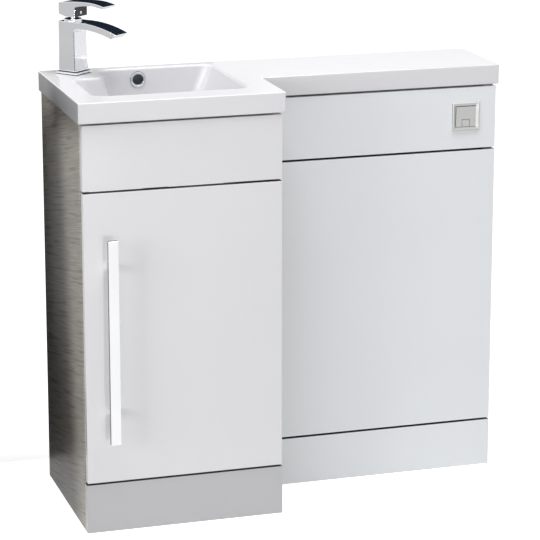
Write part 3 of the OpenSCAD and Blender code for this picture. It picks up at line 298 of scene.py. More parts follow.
class Painter:
    """Builds one procedural material for each finish and keeps it.

    FLECK is the colour of the flecks in a wood, FLECK_SHAPE their stretch and FLECK_CELLS their
    cells per metre. GAP_SHADE is the colour of painted shade on an upper edge below a gap, and
    GAP_SHADE_REACH how far from the edge's height it reaches, in millimetres. RELIEF is the
    strength of every bump.
    """

    SMUDGE = Noise(detail=4.0, cells=9.0)
    BROAD = Noise(detail=3.0, cells=3.2)
    FINE = Noise()
    POLISH = Noise(cells=40.0)
    STROKES = Noise((0.05, 1.0, 1.0))
    RINGS = Noise((1.0, 1.0, 0.06), 5.0)
    LINES = Noise((0.02, 0.008, 0.8), 3.0)
    STREAKS = Noise((0.05, 0.008, 0.25))
    FURROWS = Noise((0.01, 0.006, 0.17), 1.0)
    CHANCE = Noise(cells=70.0)
    FLECK = (0.47, 0.46, 0.43)
    FLECK_SHAPE = (1.0, 0.35, 1.6)
    FLECK_CELLS = 260.0
    GAP_SHADE = (0.05, 0.05, 0.055)
    GAP_SHADE_REACH = 0.35
    RELIEF = 0.6

    def __init__(self) -> None:
        """Starts with no material."""
        self.made: dict[str, bpy.types.Material] = {}

    def material(self, paint: Paint) -> bpy.types.Material:
        """The material of a finish, built at its first use.

        Args:
            paint: the finish.

        Returns:
            Its Blender material.
        """
        finish = paint.value
        if finish.name not in self.made:
            self.made[finish.name] = self._build(finish)
        return self.made[finish.name]

    def _build(self, finish: Finish) -> bpy.types.Material:
        """Builds the node tree of a finish.

        Args:
            finish: the finish.

        Returns:
            Its new material.
        """
        material = bpy.data.materials.new(finish.name)
        material.use_nodes = True
        graph = Graph(material.node_tree)
        place = graph.node("ShaderNodeTexCoord", out="Object")
        fine, broad, rough = self._fields(graph, finish, place)
        low = tuple(c * (1 - finish.spread) for c in finish.colour)
        high = tuple(min(1.0, c * (1 + finish.spread)) for c in finish.colour)
        colour = self._mix(graph, broad, low, high)
        if finish.pattern is Pattern.GRAIN:
            colour = self._mix(graph, self._specks(graph, finish, place), colour, self.FLECK)
        coat: Value = finish.coat
        # Painted shade: each upper edge at a gap takes the dark gap colour and loses its coat.
        for level in finish.edges:
            height = graph.node("ShaderNodeSeparateXYZ", {"Vector": place}, out="Z") * (1 / MM)
            near = (height - level).math("ABSOLUTE").math("LESS_THAN", self.GAP_SHADE_REACH)
            colour = self._mix(graph, near, colour, self.GAP_SHADE)
            coat = (1.0 - near) * coat
        normal = graph.node("ShaderNodeBump", {
            "Strength": self.RELIEF, "Distance": finish.bump * MM, "Height": fine,
        })
        shader = graph.node("ShaderNodeBsdfPrincipled", {
            "Base Color": colour, "Roughness": rough, "Metallic": finish.metallic,
            "Coat Weight": coat, "Coat Roughness": finish.coat_roughness,
            "IOR": finish.ior, "Normal": normal,
        })
        graph.node("ShaderNodeOutputMaterial", {"Surface": shader})
        return material

    @staticmethod
    def _mix(graph: Graph, share: Sock, low: Value, high: Value) -> Sock:
        """Blends two colours.

        Args:
            graph: the material's tree.
            share: 0 for the first colour and 1 for the second.
            low: the first colour.
            high: the second colour.

        Returns:
            The blended colour.
        """
        made = graph.node("ShaderNodeMix", out=2, data_type="RGBA")
        node = made.socket.node
        for number, value in ((0, share), (6, low), (7, high)):
            graph.put(node.inputs[number], value)
        return made

    @staticmethod
    def _noise(graph: Graph, finish: Finish, place: Sock, noise: Noise) -> Sock:
        """Noise on object coordinates.

        Args:
            graph: the material's tree.
            finish: the finish, whose grain may set the cells.
            place: the object coordinates.
            noise: the field.

        Returns:
            The noise, about 0 to 1.
        """
        vector = graph.node("ShaderNodeMapping", {"Vector": place, "Scale": noise.stretch})
        return graph.node("ShaderNodeTexNoise", {
            "Vector": vector, "Scale": noise.cells or 1000.0 / finish.grain,
            "Detail": noise.detail,
        })

    def _specks(self, graph: Graph, finish: Finish, place: Sock) -> Sock:
        """Small light flecks in a wood's grain, longer than they are high.

        Args:
            graph: the material's tree.
            finish: the finish.
            place: the object coordinates.

        Returns:
            Their share, 0 to 1.
        """
        vector = graph.node("ShaderNodeMapping", {"Vector": place, "Scale": self.FLECK_SHAPE})
        away = graph.node("ShaderNodeTexVoronoi", {
            "Vector": vector, "Scale": self.FLECK_CELLS,
        }, out="Distance")
        chance = self._noise(graph, finish, place, self.CHANCE)
        return ((1.0 - away * 6.0).clamp() * ((chance - 0.56) * 9.0).clamp() * 0.8).clamp()

    def _fields(self, graph: Graph, finish: Finish, place: Sock) -> tuple[Sock, Sock, Sock]:
        """The three fields that a finish is made of.

        Args:
            graph: the material's tree.
            finish: the finish.
            place: the object coordinates.

        Returns:
            The bump's height, the colour's share and the roughness.
        """
        smudge = self._noise(graph, finish, place, self.SMUDGE)
        if finish.pattern is Pattern.GRAIN:
            tilt = (finish.slant, 0.0, 0.0)
            place = graph.node("ShaderNodeMapping", {"Vector": place, "Rotation": tilt})
            lines = self._noise(graph, finish, place, self.LINES)
            streaks = self._noise(graph, finish, place, self.STREAKS)
            deep = self._noise(graph, finish, place, self.FURROWS)
            furrows = ((deep - 0.58) * 14.0).clamp()
            share = ((lines * 0.55 + streaks * 0.45).about(2.8, 0.55) - furrows * 0.5).clamp()
            return lines, share, lines.about(0.3, finish.roughness)
        if finish.pattern is Pattern.TIMBER:
            rings = self._noise(graph, finish, place, self.RINGS)
            return rings, rings.about(2.2, 0.5).clamp(), rings * 0.2 + (finish.roughness - 0.1)
        if finish.pattern is Pattern.BRUSHED:
            lines = self._noise(graph, finish, place, self.STROKES)
            share = (smudge.about(1.6, lines * 0.3) + 0.35).clamp()
            return lines, share, lines * 0.12 + (finish.roughness - 0.05)
        if finish.pattern is Pattern.POLISHED:
            fine = self._noise(graph, finish, place, self.POLISH)
            share = smudge.about(1.5, 0.5).clamp()
            return fine, share, smudge.about(0.12, finish.roughness).clamp()
        fine = self._noise(graph, finish, place, self.FINE)
        broad = self._noise(graph, finish, place, self.BROAD)
        share = broad.about(1.4, fine.about(0.5, 0.5)).clamp()
        return fine, share, smudge.about(0.16, finish.roughness).clamp()


# ---------------------------------------------------------------- mesh building


class Kit:
    """Builds plain meshes, places them and makes them ride on the frame."""

    def __init__(self, painter: Painter) -> None:
        """Keeps the painter that dresses what is built.

        Args:
            painter: the painter.
        """
        self.painter = painter
        self.count = 0
        self.gone: set[str] = set()

    @staticmethod
    def mesh(name: str, points: Sequence[Sequence[float]],
             faces: Sequence[Sequence[int]]) -> bpy.types.Object:
        """Makes an object from points in millimetres.

        Args:
            name: the piece's name.
            points: its points.
            faces: its faces, as point numbers.

        Returns:
            The linked object, at the origin.
        """
        data = bpy.data.meshes.new(name)
        data.from_pydata([Vector(p) * MM for p in points], [], faces)
        data.validate()
        made = bpy.data.objects.new(name, data)
        bpy.context.scene.collection.objects.link(made)
        return made

    @staticmethod
    def baked(piece: bpy.types.Object) -> bpy.types.Object:
        """Turns a piece's modifiers into its plain mesh.

        Args:
            piece: the object with live modifiers.

        Returns:
            The same object, with no modifiers.
        """
        bpy.context.view_layer.update()
        graph = bpy.context.evaluated_depsgraph_get()
        data = bpy.data.meshes.new_from_object(piece.evaluated_get(graph))
        piece.modifiers.clear()
        piece.data = data
        return piece

    @staticmethod
    def outward(piece: bpy.types.Object, merge: float = 0.002) -> bpy.types.Object:
        """Merges doubled points and turns every face outwards.

        Args:
            piece: the object.
            merge: how near two points merge, in millimetres.

        Returns:
            The same object.
        """
        work = bmesh.new()
        work.from_mesh(piece.data)
        bmesh.ops.remove_doubles(work, verts=work.verts, dist=merge * MM)
        bmesh.ops.recalc_face_normals(work, faces=work.faces)
        work.to_mesh(piece.data)
        work.free()
        return piece

    @staticmethod
    def smooth(piece: bpy.types.Object, angle: float = 32.0) -> bpy.types.Object:
        """Shades a piece smooth, but sharp at its edges.

        Args:
            piece: the object.
            angle: the angle in degrees over which an edge stays sharp.

        Returns:
            The same object.
        """
        for face in piece.data.polygons:
            face.use_smooth = True
        piece.data.set_sharp_from_angle(angle=math.radians(angle))
        return piece

    def finish(self, piece: bpy.types.Object, angle: float = 32.0) -> bpy.types.Object:
        """Smooth shading in which large flat faces stay flat.

        Args:
            piece: the object.
            angle: the angle in degrees over which an edge stays sharp.

        Returns:
            The object, with its shading in its mesh.
        """
        self.smooth(piece, angle)
        modifier = piece.modifiers.new("Shading", "WEIGHTED_NORMAL")
        modifier.keep_sharp = True
        return self.baked(piece)

    def board(self, tree: "Tree", name: str, low: Point, high: Point, arris: float,
              paint: Paint) -> bpy.types.Object:
        """A rounded board between two corners.

        Args:
            tree: the board tree.
            name: the piece's name.
            low: its lowest corner.
            high: its highest corner.
            arris: its edges' rounding.
            paint: its finish.

        Returns:
            The board, in place.
        """
        width, depth, height = (b - a for a, b in zip(low, high))
        middle = Matrix.Translation([(a + b) / 2 for a, b in zip(low, high)])
        return tree.run(self, name, paint, middle, width=width, depth=depth, height=height,
                        arris=arris)

    def bevel(self, piece: bpy.types.Object, width: float, segments: int = 3,
              angle: float = 35.0) -> bpy.types.Object:
        """Rounds every edge over an angle.

        Args:
            piece: the object.
            width: the rounding's radius in millimetres.
            segments: faces across it.
            angle: the smallest angle that is rounded, in degrees.

        Returns:
            The rounded object.
        """
        modifier = piece.modifiers.new("Arris", "BEVEL")
        modifier.width = width * MM
        modifier.segments = segments
        modifier.limit_method = "ANGLE"
        modifier.angle_limit = math.radians(angle)
        modifier.harden_normals = False
        return self.baked(piece)

    def cut(self, piece: bpy.types.Object, tools: Iterable[bpy.types.Object],
            way: str = "DIFFERENCE") -> bpy.types.Object:
        """Subtracts tools from a piece, or joins or intersects it with them, and removes them.

        Args:
            piece: the object.
            tools: the solids that it meets.
            way: DIFFERENCE, UNION or INTERSECT.

        Returns:
            The changed object.
        """
        for tool in tools:
            modifier = piece.modifiers.new("Cut", "BOOLEAN")
            modifier.operation = way
            modifier.solver = "EXACT"
            modifier.object = tool
            self.baked(piece)
            bpy.data.objects.remove(tool)
        return piece

    def box(self, name: str, low: Point, high: Point) -> bpy.types.Object:
        """A plain box between two corners, as a tool.

        Args:
            name: its name.
            low: its lowest corner.
            high: its highest corner.

        Returns:
            The box.
        """
        x, y, z = zip(low, high)
        points = [(a, b, c) for c in z for b in y for a in x]
        faces = [(0, 2, 3, 1), (4, 5, 7, 6), (0, 1, 5, 4), (2, 6, 7, 3), (0, 4, 6, 2), (1, 3, 7, 5)]
        return self.mesh(name, points, faces)

    def lathe(self, name: str, outline: Sequence[Flat], segments: int, turn: Matrix,
              closed: bool = True) -> bpy.types.Object:
        """Turns an outline of (radius, height) round an axis.

        Args:
            name: the piece's name.
            outline: the outline's points in millimetres.
            segments: faces round the axis.
            turn: where the axis goes, in millimetres.
            closed: whether the outline's ends join.

        Returns:
            The turned object.
        """
        points, faces, rows = [], [], []
        for radius, height in outline:
            if radius < 1e-6:
                rows.append([len(points)] * segments)
                points.append(turn @ Vector((0, 0, height)))
                continue
            rows.append([len(points) + i for i in range(segments)])
            for i in range(segments):
                a = 2 * math.pi * i / segments
                points.append(turn @ Vector((radius * math.cos(a), radius * math.sin(a), height)))
        count = len(rows) if closed else len(rows) - 1
        for k in range(count):
            one, two = rows[k], rows[(k + 1) % len(rows)]
            for i in range(segments):
                j = (i + 1) % segments
                ring = [one[i], one[j], two[j], two[i]]
                face = [v for n, v in enumerate(ring) if v not in ring[:n]]
                if len(face) > 2:
                    faces.append(face)
        return self.outward(self.mesh(name, points, faces))

    def drum(self, name: str, radius: float, low: float, high: float, segments: int,
             turn: Matrix) -> bpy.types.Object:
        """A plain cylinder, as a tool.

        Args:
            name: its name.
            radius: its radius.
            low: its lower end along the axis.
            high: its upper end.
            segments: faces round the axis.
            turn: where the axis goes, in millimetres.

        Returns:
            The cylinder.
        """
        outline = [(0, low), (radius, low), (radius, high), (0, high)]
        return self.lathe(name, outline, segments, turn, closed=False)

    def prism(self, name: str, outline: Sequence[Flat], half: float,
              turn: Matrix) -> bpy.types.Object:
        """An upright side outline of (along, up) given a width across.

        Args:
            name: the piece's name.
            outline: the outline's points in millimetres.
            half: half the width.
            turn: the matrix, in millimetres, that places it.

        Returns:
            The solid object.
        """
        n = len(outline)
        points = [turn @ Vector((s, side * half, z)) for side in (-1, 1) for s, z in outline]
        faces = [list(range(n)), [n + i for i in reversed(range(n))]]
        faces += [[i, (i + 1) % n, n + (i + 1) % n, n + i] for i in range(n)]
        return self.outward(self.mesh(name, points, faces))

    def second(self, piece: bpy.types.Object, paint: Paint,
               where: Callable[[Vector], bool]) -> None:
        """Gives some faces of a placed piece a second finish.

        Args:
            piece: the object.
            paint: the second finish.
            where: tells from a face's centre in millimetres whether it takes it.
        """
        piece.data.materials.append(self.painter.material(paint))
        for face in piece.data.polygons:
            if where(face.center / MM):
                face.material_index = 1

    def place(self, piece: bpy.types.Object, body: Body, paint: Paint | None, slot: str,
              *nodes: str) -> bpy.types.Object:
        """Dresses a finished piece and makes it ride on its body.

        Args:
            piece: the object, in place.
            body: the CAD body it moves with.
            paint: its finish, or None where it has its materials already.
            slot: the record's material slot; not used.
            *nodes: the CAD nodes it stands for.

        Returns:
            The piece.
        """
        if paint is not None:
            piece.data.materials.clear()
            piece.data.materials.append(self.painter.material(paint))
        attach(piece, body.value)
        if nodes:
            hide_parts(*nodes)
            self.gone.update(nodes)
        self.count += 1
        LOG.info("%s: %d faces on %s, for %s", piece.name, len(piece.data.polygons), body.value,
                 nodes or "no node")
        return piece


# ---------------------------------------------------------------- geometry nodes


@dataclass
class Tree:
    """A Geometry Nodes tree with named number inputs and one material input."""

    name: str
    sizes: tuple[str, ...]
    counts: tuple[str, ...] = ()
    ids: dict[str, str] = field(default_factory=dict)

    def start(self) -> tuple[Graph, bpy.types.Node]:
        """Makes the empty tree.

        Returns:
            Its graph and its input node.
        """
        self.tree = bpy.data.node_groups.new(self.name, "GeometryNodeTree")
        face = self.tree.interface
        for kind, names in (("NodeSocketFloat", self.sizes), ("NodeSocketInt", self.counts),
                            ("NodeSocketMaterial", ("Finish",))):
            for name in names:
                socket = face.new_socket(name, in_out="INPUT", socket_type=kind)
                self.ids[name] = socket.identifier
        face.new_socket("Geometry", in_out="OUTPUT", socket_type="NodeSocketGeometry")
        graph = Graph(self.tree)
        return graph, self.tree.nodes.new("NodeGroupInput")

    def end(self, graph: Graph, source: bpy.types.Node, shape: Sock) -> None:
        """Realizes the shape, sets its material and closes the tree.

        Args:
            graph: the tree's graph.
            source: its input node.
            shape: the geometry.
        """
        done = graph.node("GeometryNodeRealizeInstances", {"Geometry": shape})
        material = Sock(graph, source.outputs["Finish"])
        done = graph.node("GeometryNodeSetMaterial", {"Geometry": done, "Material": material})
        graph.node("NodeGroupOutput", {0: done})

    def run(self, kit: Kit, name: str, finish: Paint, turn: Matrix,
            **values: float) -> bpy.types.Object:
        """Runs the tree and keeps its result as a plain mesh.

        Args:
            kit: the mesh kit.
            name: the piece's name.
            finish: the material of the shape.
            turn: the matrix, in millimetres, that places the result.
            **values: the tree's inputs, by name in lower case; sizes in millimetres.

        Returns:
            The object, in place.
        """
        piece = kit.mesh(name, [], [])
        modifier = piece.modifiers.new("Rule", "NODES")
        modifier.node_group = self.tree
        for key, value in values.items():
            label = key.title()
            modifier[self.ids[label]] = value if label in self.counts else value * MM
        modifier[self.ids["Finish"]] = kit.painter.material(finish)
        kit.baked(piece)
        turn = turn.copy()
        turn.translation *= MM
        piece.data.transform(turn)
        return piece


def vector(graph: Graph, operation: str, *values: Value) -> Sock:
    """Adds a Vector Math node.

    Args:
        graph: the tree's graph.
        operation: Blender's name of the operation.
        *values: its inputs, in order.

    Returns:
        The node's vector output.
    """
    return graph.node("ShaderNodeVectorMath", dict(enumerate(values)), operation=operation)


def board_tree() -> Tree:
    """A board or bar whose twelve edges are rounded.

    The cube's outer three rows of cells on each side make the rounding. The points between them
    lie a third of it inside its rim, so that a narrow flat band runs along each arris.

    Returns:
        The tree, with inputs for the width, depth, height and rounding.
    """
    tree = Tree("Rounded board", ("Width", "Depth", "Height", "Arris"))
    graph, source = tree.start()
    get = {n: Sock(graph, source.outputs[n]) for n in tree.sizes}
    cells, rounded = 9, 3
    flat = cells / 2 - rounded
    cube = graph.node("GeometryNodeMeshCube", {
        "Size": (1, 1, 1), "Vertices X": cells + 1, "Vertices Y": cells + 1,
        "Vertices Z": cells + 1,
    }, out="Mesh")
    place = graph.node("GeometryNodeInputPosition")
    size = graph.node("ShaderNodeCombineXYZ", {
        "X": get["Width"], "Y": get["Depth"], "Z": get["Height"],
    })
    half = vector(graph, "MULTIPLY", size, (0.5,) * 3)
    arris = graph.node("ShaderNodeCombineXYZ", dict.fromkeys("XYZ", get["Arris"]))
    inner = vector(graph, "SUBTRACT", half, arris)
    step = vector(graph, "MULTIPLY", vector(graph, "ABSOLUTE", place), (cells,) * 3)
    along = vector(graph, "MULTIPLY", vector(graph, "SUBTRACT", step, (flat,) * 3),
                   (1 / rounded,) * 3)
    reach = vector(graph, "ADD", inner, vector(graph, "MULTIPLY", arris, along))
    point = vector(graph, "MULTIPLY", reach, vector(graph, "SIGN", place))
    lowest = vector(graph, "MULTIPLY", inner, (-1,) * 3)
    held = vector(graph, "MINIMUM", vector(graph, "MAXIMUM", point, lowest), inner)
    away = vector(graph, "NORMALIZE", vector(graph, "SUBTRACT", point, held))
    out = vector(graph, "ADD", held, vector(graph, "MULTIPLY", away, arris))
    shape = graph.node("GeometryNodeSetPosition", {"Geometry": cube, "Position": out})
    shape = graph.node("GeometryNodeSetShadeSmooth", {"Geometry": shape})
    tree.end(graph, source, shape)
    return tree


def jet_tree() -> Tree:
    """Small round jets in two rings, for the tap's outlet.

    Returns:
        The tree, with inputs for the outer radius, a jet's radius and the count.
    """
    tree = Tree("Jets", ("Radius", "Hole"), ("Count",))
    graph, source = tree.start()
    get = {n: Sock(graph, source.outputs[n]) for n in (*tree.sizes, *tree.counts)}
    rings = graph.node("GeometryNodeJoinGeometry")
    for share in (0.45, 0.9):
        count = get["Count"] * (share * 1.2 + 0.2)
        ring = graph.node("GeometryNodeMeshCircle", {
            "Vertices": count, "Radius": get["Radius"] * share,
        })
        tree.tree.links.new(ring.socket, rings.socket.node.inputs[0])
    jet = graph.node("GeometryNodeMeshCylinder", {
        "Vertices": 10, "Radius": get["Hole"], "Depth": get["Hole"],
    }, out="Mesh")
    shape = graph.node("GeometryNodeInstanceOnPoints", {"Points": rings, "Instance": jet})
    tree.end(graph, source, shape)
    return tree


# ---------------------------------------------------------------- sub-assemblies


def turned(point: Sequence[float], degrees: float, axis: str,
           start: Matrix | None = None) -> Matrix:
    """The matrix that moves a piece to a point and turns it about an axis there.

    Args:
        point: the point in millimetres.
        degrees: the angle.
        axis: X, Y or Z.
        start: the axes that the point is given in; the frame's own if left out.

    Returns:
        The matrix.
    """
    moved = Matrix.Translation(point)
    if start is not None:
        moved = start @ moved
    return moved @ Matrix.Rotation(math.radians(degrees), 4, axis)


def tap_axes() -> Matrix:
    """The matrix from the tap's axes (along the spout, across, up from the deck) to the frame."""
    return turned(TAP_FOOT, TAP_ANGLE, "Z")


def arch(centre: Flat, radius: float, start: float, end: float, count: int) -> list[Flat]:
    """Points on a circle's upper half, from one distance along to another.

    Args:
        centre: the circle's centre, as along and up.
        radius: its radius.
        start: the first point's distance along.
        end: the last point's distance along.
        count: steps between them.

    Returns:
        The points as along and up, in millimetres.
    """
    steps = [start + (end - start) * i / count for i in range(count + 1)]
    return [(s, centre[1] + math.sqrt(radius ** 2 - (s - centre[0]) ** 2)) for s in steps]


@dataclass
class MouldedTop:
    """The L-shaped top: rim, deck, bowl with a stepped corner, and the overflow's channel.

    The bowl is one closed run of rings. Each ring is the same six-cornered outline, drawn in or
    out. The leans say how far a wall draws in for each millimetre of depth, and how much smaller
    an outer corner's radius gets. casing and channel hold half the width, the underside and the
    top of the overflow's duct below the bowl and of the room in it.
    """

    left: float = -453.0
    right: float = 453.0
    deep_right: float = -47.0
    back: float = 197.5
    deep_front: float = -159.5
    shallow_front: float = -2.5
    deck: float = 850.0
    rim: float = 40.0
    rim_width: float = 24.5
    thick: float = 14.0
    corner: float = 2.5
    edge: float = 2.2
    bowl_left: float = -407.0
    bowl_right: float = -102.0
    bowl_front: float = -97.5
    bowl_back: float = 174.5
    step_x: float = -339.0
    step_y: float = 91.5
    side_lean: float = 0.42
    front_lean: float = 0.25
    step_lean: float = 0.15
    corner_lean: float = 0.06
    outer_corner: float = 24.0
    inner_corner: float = 16.0
    depth: float = 115.0
    skin: float = 8.0
    lip: float = 5.0
    above: float = 6.0
    fillet: float = 24.0
    fillet_draw: float = 0.8
    back_rim: float = 18.0
    long_left: float = -33.5
    casing: Point = (27.0, 711.0, 731.0)
    hub: float = 38.0
    channel: Point = (20.0, 717.0, 727.0)
    channel_depth: Flat = (180.5, 189.5)
    channel_top: float = 842.0

    # The radius, the low end and the high end of each hole, along its own axis.
    WASTE_HOLE = (21.9, 700, 740)
    OVERFLOW_HOLE = (13, -1, 7)
    TAP_HOLE = (17, -16, 2)

    def ring(self, down: float, grow: float) -> list[Point]:
        """One level of the bowl.

        Args:
            down: how far below the deck.
            grow: how far the outline is drawn outwards.

        Returns:
            The outline's points, anticlockwise from above.
        """
        low = max(down, 0.0)
        x0 = self.bowl_left + self.side_lean * low - grow
        x1 = self.bowl_right - self.side_lean * low + grow
        y0 = self.bowl_front + self.front_lean * low - grow
        y1 = self.bowl_back + grow
        sx = self.step_x + self.step_lean * low - grow
        sy = self.step_y - self.front_lean * low + grow
        round_r = max(self.outer_corner - self.corner_lean * low + grow, 2.0)
        inner_r = max(self.inner_corner - grow, 1.0)
        corners = (
            (x0, y0, round_r, 180, 90), (x1, y0, round_r, 270, 90), (x1, y1, round_r, 0, 90),
            (sx, y1, round_r, 90, 90), (sx, sy, inner_r, 0, -90), (x0, sy, round_r, 90, 90),
        )
        points = []
        for x, y, r, start, sweep in corners:
            away_x, away_y = self._corner_side(start, sweep)
            cx, cy = x + away_x * r, y + away_y * r
            for i in range(13):
                a = math.radians(start + sweep * i / 12)
                points.append((cx + r * math.cos(a), cy + r * math.sin(a), self.deck - down))
        return points

    @staticmethod
    def _corner_side(start: int, sweep: int) -> tuple[int, int]:
        """Where a corner's centre lies from its tip.

        Args:
            start: the angle in degrees at which its rounding starts.
            sweep: the angle that it turns through, negative for the step's inner corner.

        Returns:
            The signs along X and Y.
        """
        if sweep < 0:
            return -1, 1
        return {180: (1, 1), 270: (-1, 1), 0: (-1, -1), 90: (1, -1)}[start]

    def bowl(self, kit: Kit, name: str, grow: float, lipped: bool) -> bpy.types.Object:
        """The bowl's form as a closed solid.

        Args:
            kit: the mesh kit.
            name: the solid's name.
            grow: how far it is drawn outwards.
            lipped: whether its mouth flares into the deck and runs on above it.

        Returns:
            The solid.
        """
        levels: list[Flat] = []
        if lipped:
            levels.append((-self.above, self.lip))
            for i in range(9):
                a = math.radians(90 * i / 8)
                down, out = self.lip * math.cos(a), self.lip * math.sin(a)
                levels.append((self.lip - down, self.lip - out))
        else:
            levels.append((self.thick / 2, 0.0))
        turn = self.depth - self.fillet
        start = self.lip + 4
        levels += [(start + (turn - start) * i / 8, 0.0) for i in range(9)]
        for i in range(1, 11):
            a = math.radians(90 * i / 10)
            drawn = self.fillet * self.fillet_draw * (1 - math.cos(a))
            levels.append((turn + self.fillet * math.sin(a), -drawn))
        points: list[Point] = []
        for down, out in levels:
            deeper = grow * max(0.0, (down - turn) / self.fillet) if down > turn else 0.0
            points += [(x, y, z - deeper) for x, y, z in self.ring(down, out + grow)]
        count = len(points) // len(levels)
        faces = []
        for k in range(len(levels) - 1):
            for i in range(count):
                j = (i + 1) % count
                above, below = k * count, (k + 1) * count
                faces.append([above + i, above + j, below + j, below + i])
        faces.append(list(range(count)))
        faces.append([(len(levels) - 1) * count + i for i in range(count)])
        return kit.outward(kit.mesh(name, points, faces))

    def slab(self, kit: Kit) -> bpy.types.Object:
        """The L-shaped slab with rounded corners and rim edges.

        Args:
            kit: the mesh kit.

        Returns:
            The slab.
        """
        low, r = self.deck - self.rim, self.corner
        outline = [
            (self.left, self.deep_front, 180), (self.deep_right, self.deep_front, 270),
            (self.deep_right, self.shallow_front, None), (self.right, self.shallow_front, 270),
            (self.right, self.back, 0), (self.left, self.back, 90),
        ]
        flat: list[Flat] = []
        for x, y, start in outline:
            if start is None:
                flat.append((x, y))
                continue
            sx, sy = self._corner_side(start, 90)
            for i in range(9):
                a = math.radians(start + 90 * i / 8)
                flat.append((x + sx * r + r * math.cos(a), y + sy * r + r * math.sin(a)))
        n = len(flat)
        points = [(x, y, z) for z in (low, self.deck) for x, y in flat]
        faces = [list(reversed(range(n))), [n + i for i in range(n)]]
        faces += [[i, (i + 1) % n, n + (i + 1) % n, n + i] for i in range(n)]
        return kit.bevel(kit.outward(kit.mesh("top_slab", points, faces)), self.edge, 4, 60)

    def build(self, kit: Kit) -> None:
        """Builds the top and places it.

        Args:
            kit: the mesh kit.
        """
        top = self.slab(kit)
        w, wall = self.rim_width, self.back - self.back_rim
        low, under = self.deck - self.rim - 1, self.deck - self.thick
        kit.cut(top, [
            kit.box("hollow_deep", (self.left + w, self.deep_front + w, low),
                    (self.deep_right - w, wall, under)),
            kit.box("hollow_long", (self.long_left, self.shallow_front + w, low),
                    (self.right - w, wall, under)),
        ])
        x, y, _ = WASTE
        axis = Matrix.Translation((x, y, 0))
        side, low, high = self.casing
        kit.cut(top, [
            self.bowl(kit, "bowl_shell", self.skin, False),
            kit.box("duct_back", (x - side, self.bowl_back - self.skin, low),
                    (x + side, self.back - 3, under + 1)),
            kit.box("duct_floor", (x - side, y, low), (x + side, self.back - 3, high)),
            kit.drum("duct_hub", self.hub, low, high, 64, axis),
        ], "UNION")
        side, low, high = self.channel
        front, back = self.channel_depth
        kit.cut(top, [
            self.bowl(kit, "bowl_room", 0.0, True),
            kit.box("channel_back", (x - side, front, low), (x + side, back, self.channel_top)),
            kit.box("channel_floor", (x - side, y, low), (x + side, back, high)),
            kit.drum("waste_hole", *self.WASTE_HOLE, 48, axis),
            kit.drum("overflow_hole", *self.OVERFLOW_HOLE, 48, turned(OVERFLOW, -90, "X")),
            kit.drum("tap_hole", *self.TAP_HOLE, 48, tap_axes()),
        ])
        kit.outward(top, 0.0005)
        kit.finish(top, 34)
        kit.place(top, Body.UNIT, Paint.TOP, "top", "basin_top", "basin_bowl")
        # Painted shade on the faces inside the overflow's channel.
        kit.second(top, Paint.CHANNEL_SHADE, lambda at: (
            abs(at.x - x) < side + 1 and front - 0.5 < at.y < back + 0.5
            and low - 1 < at.z < self.channel_top + 1))


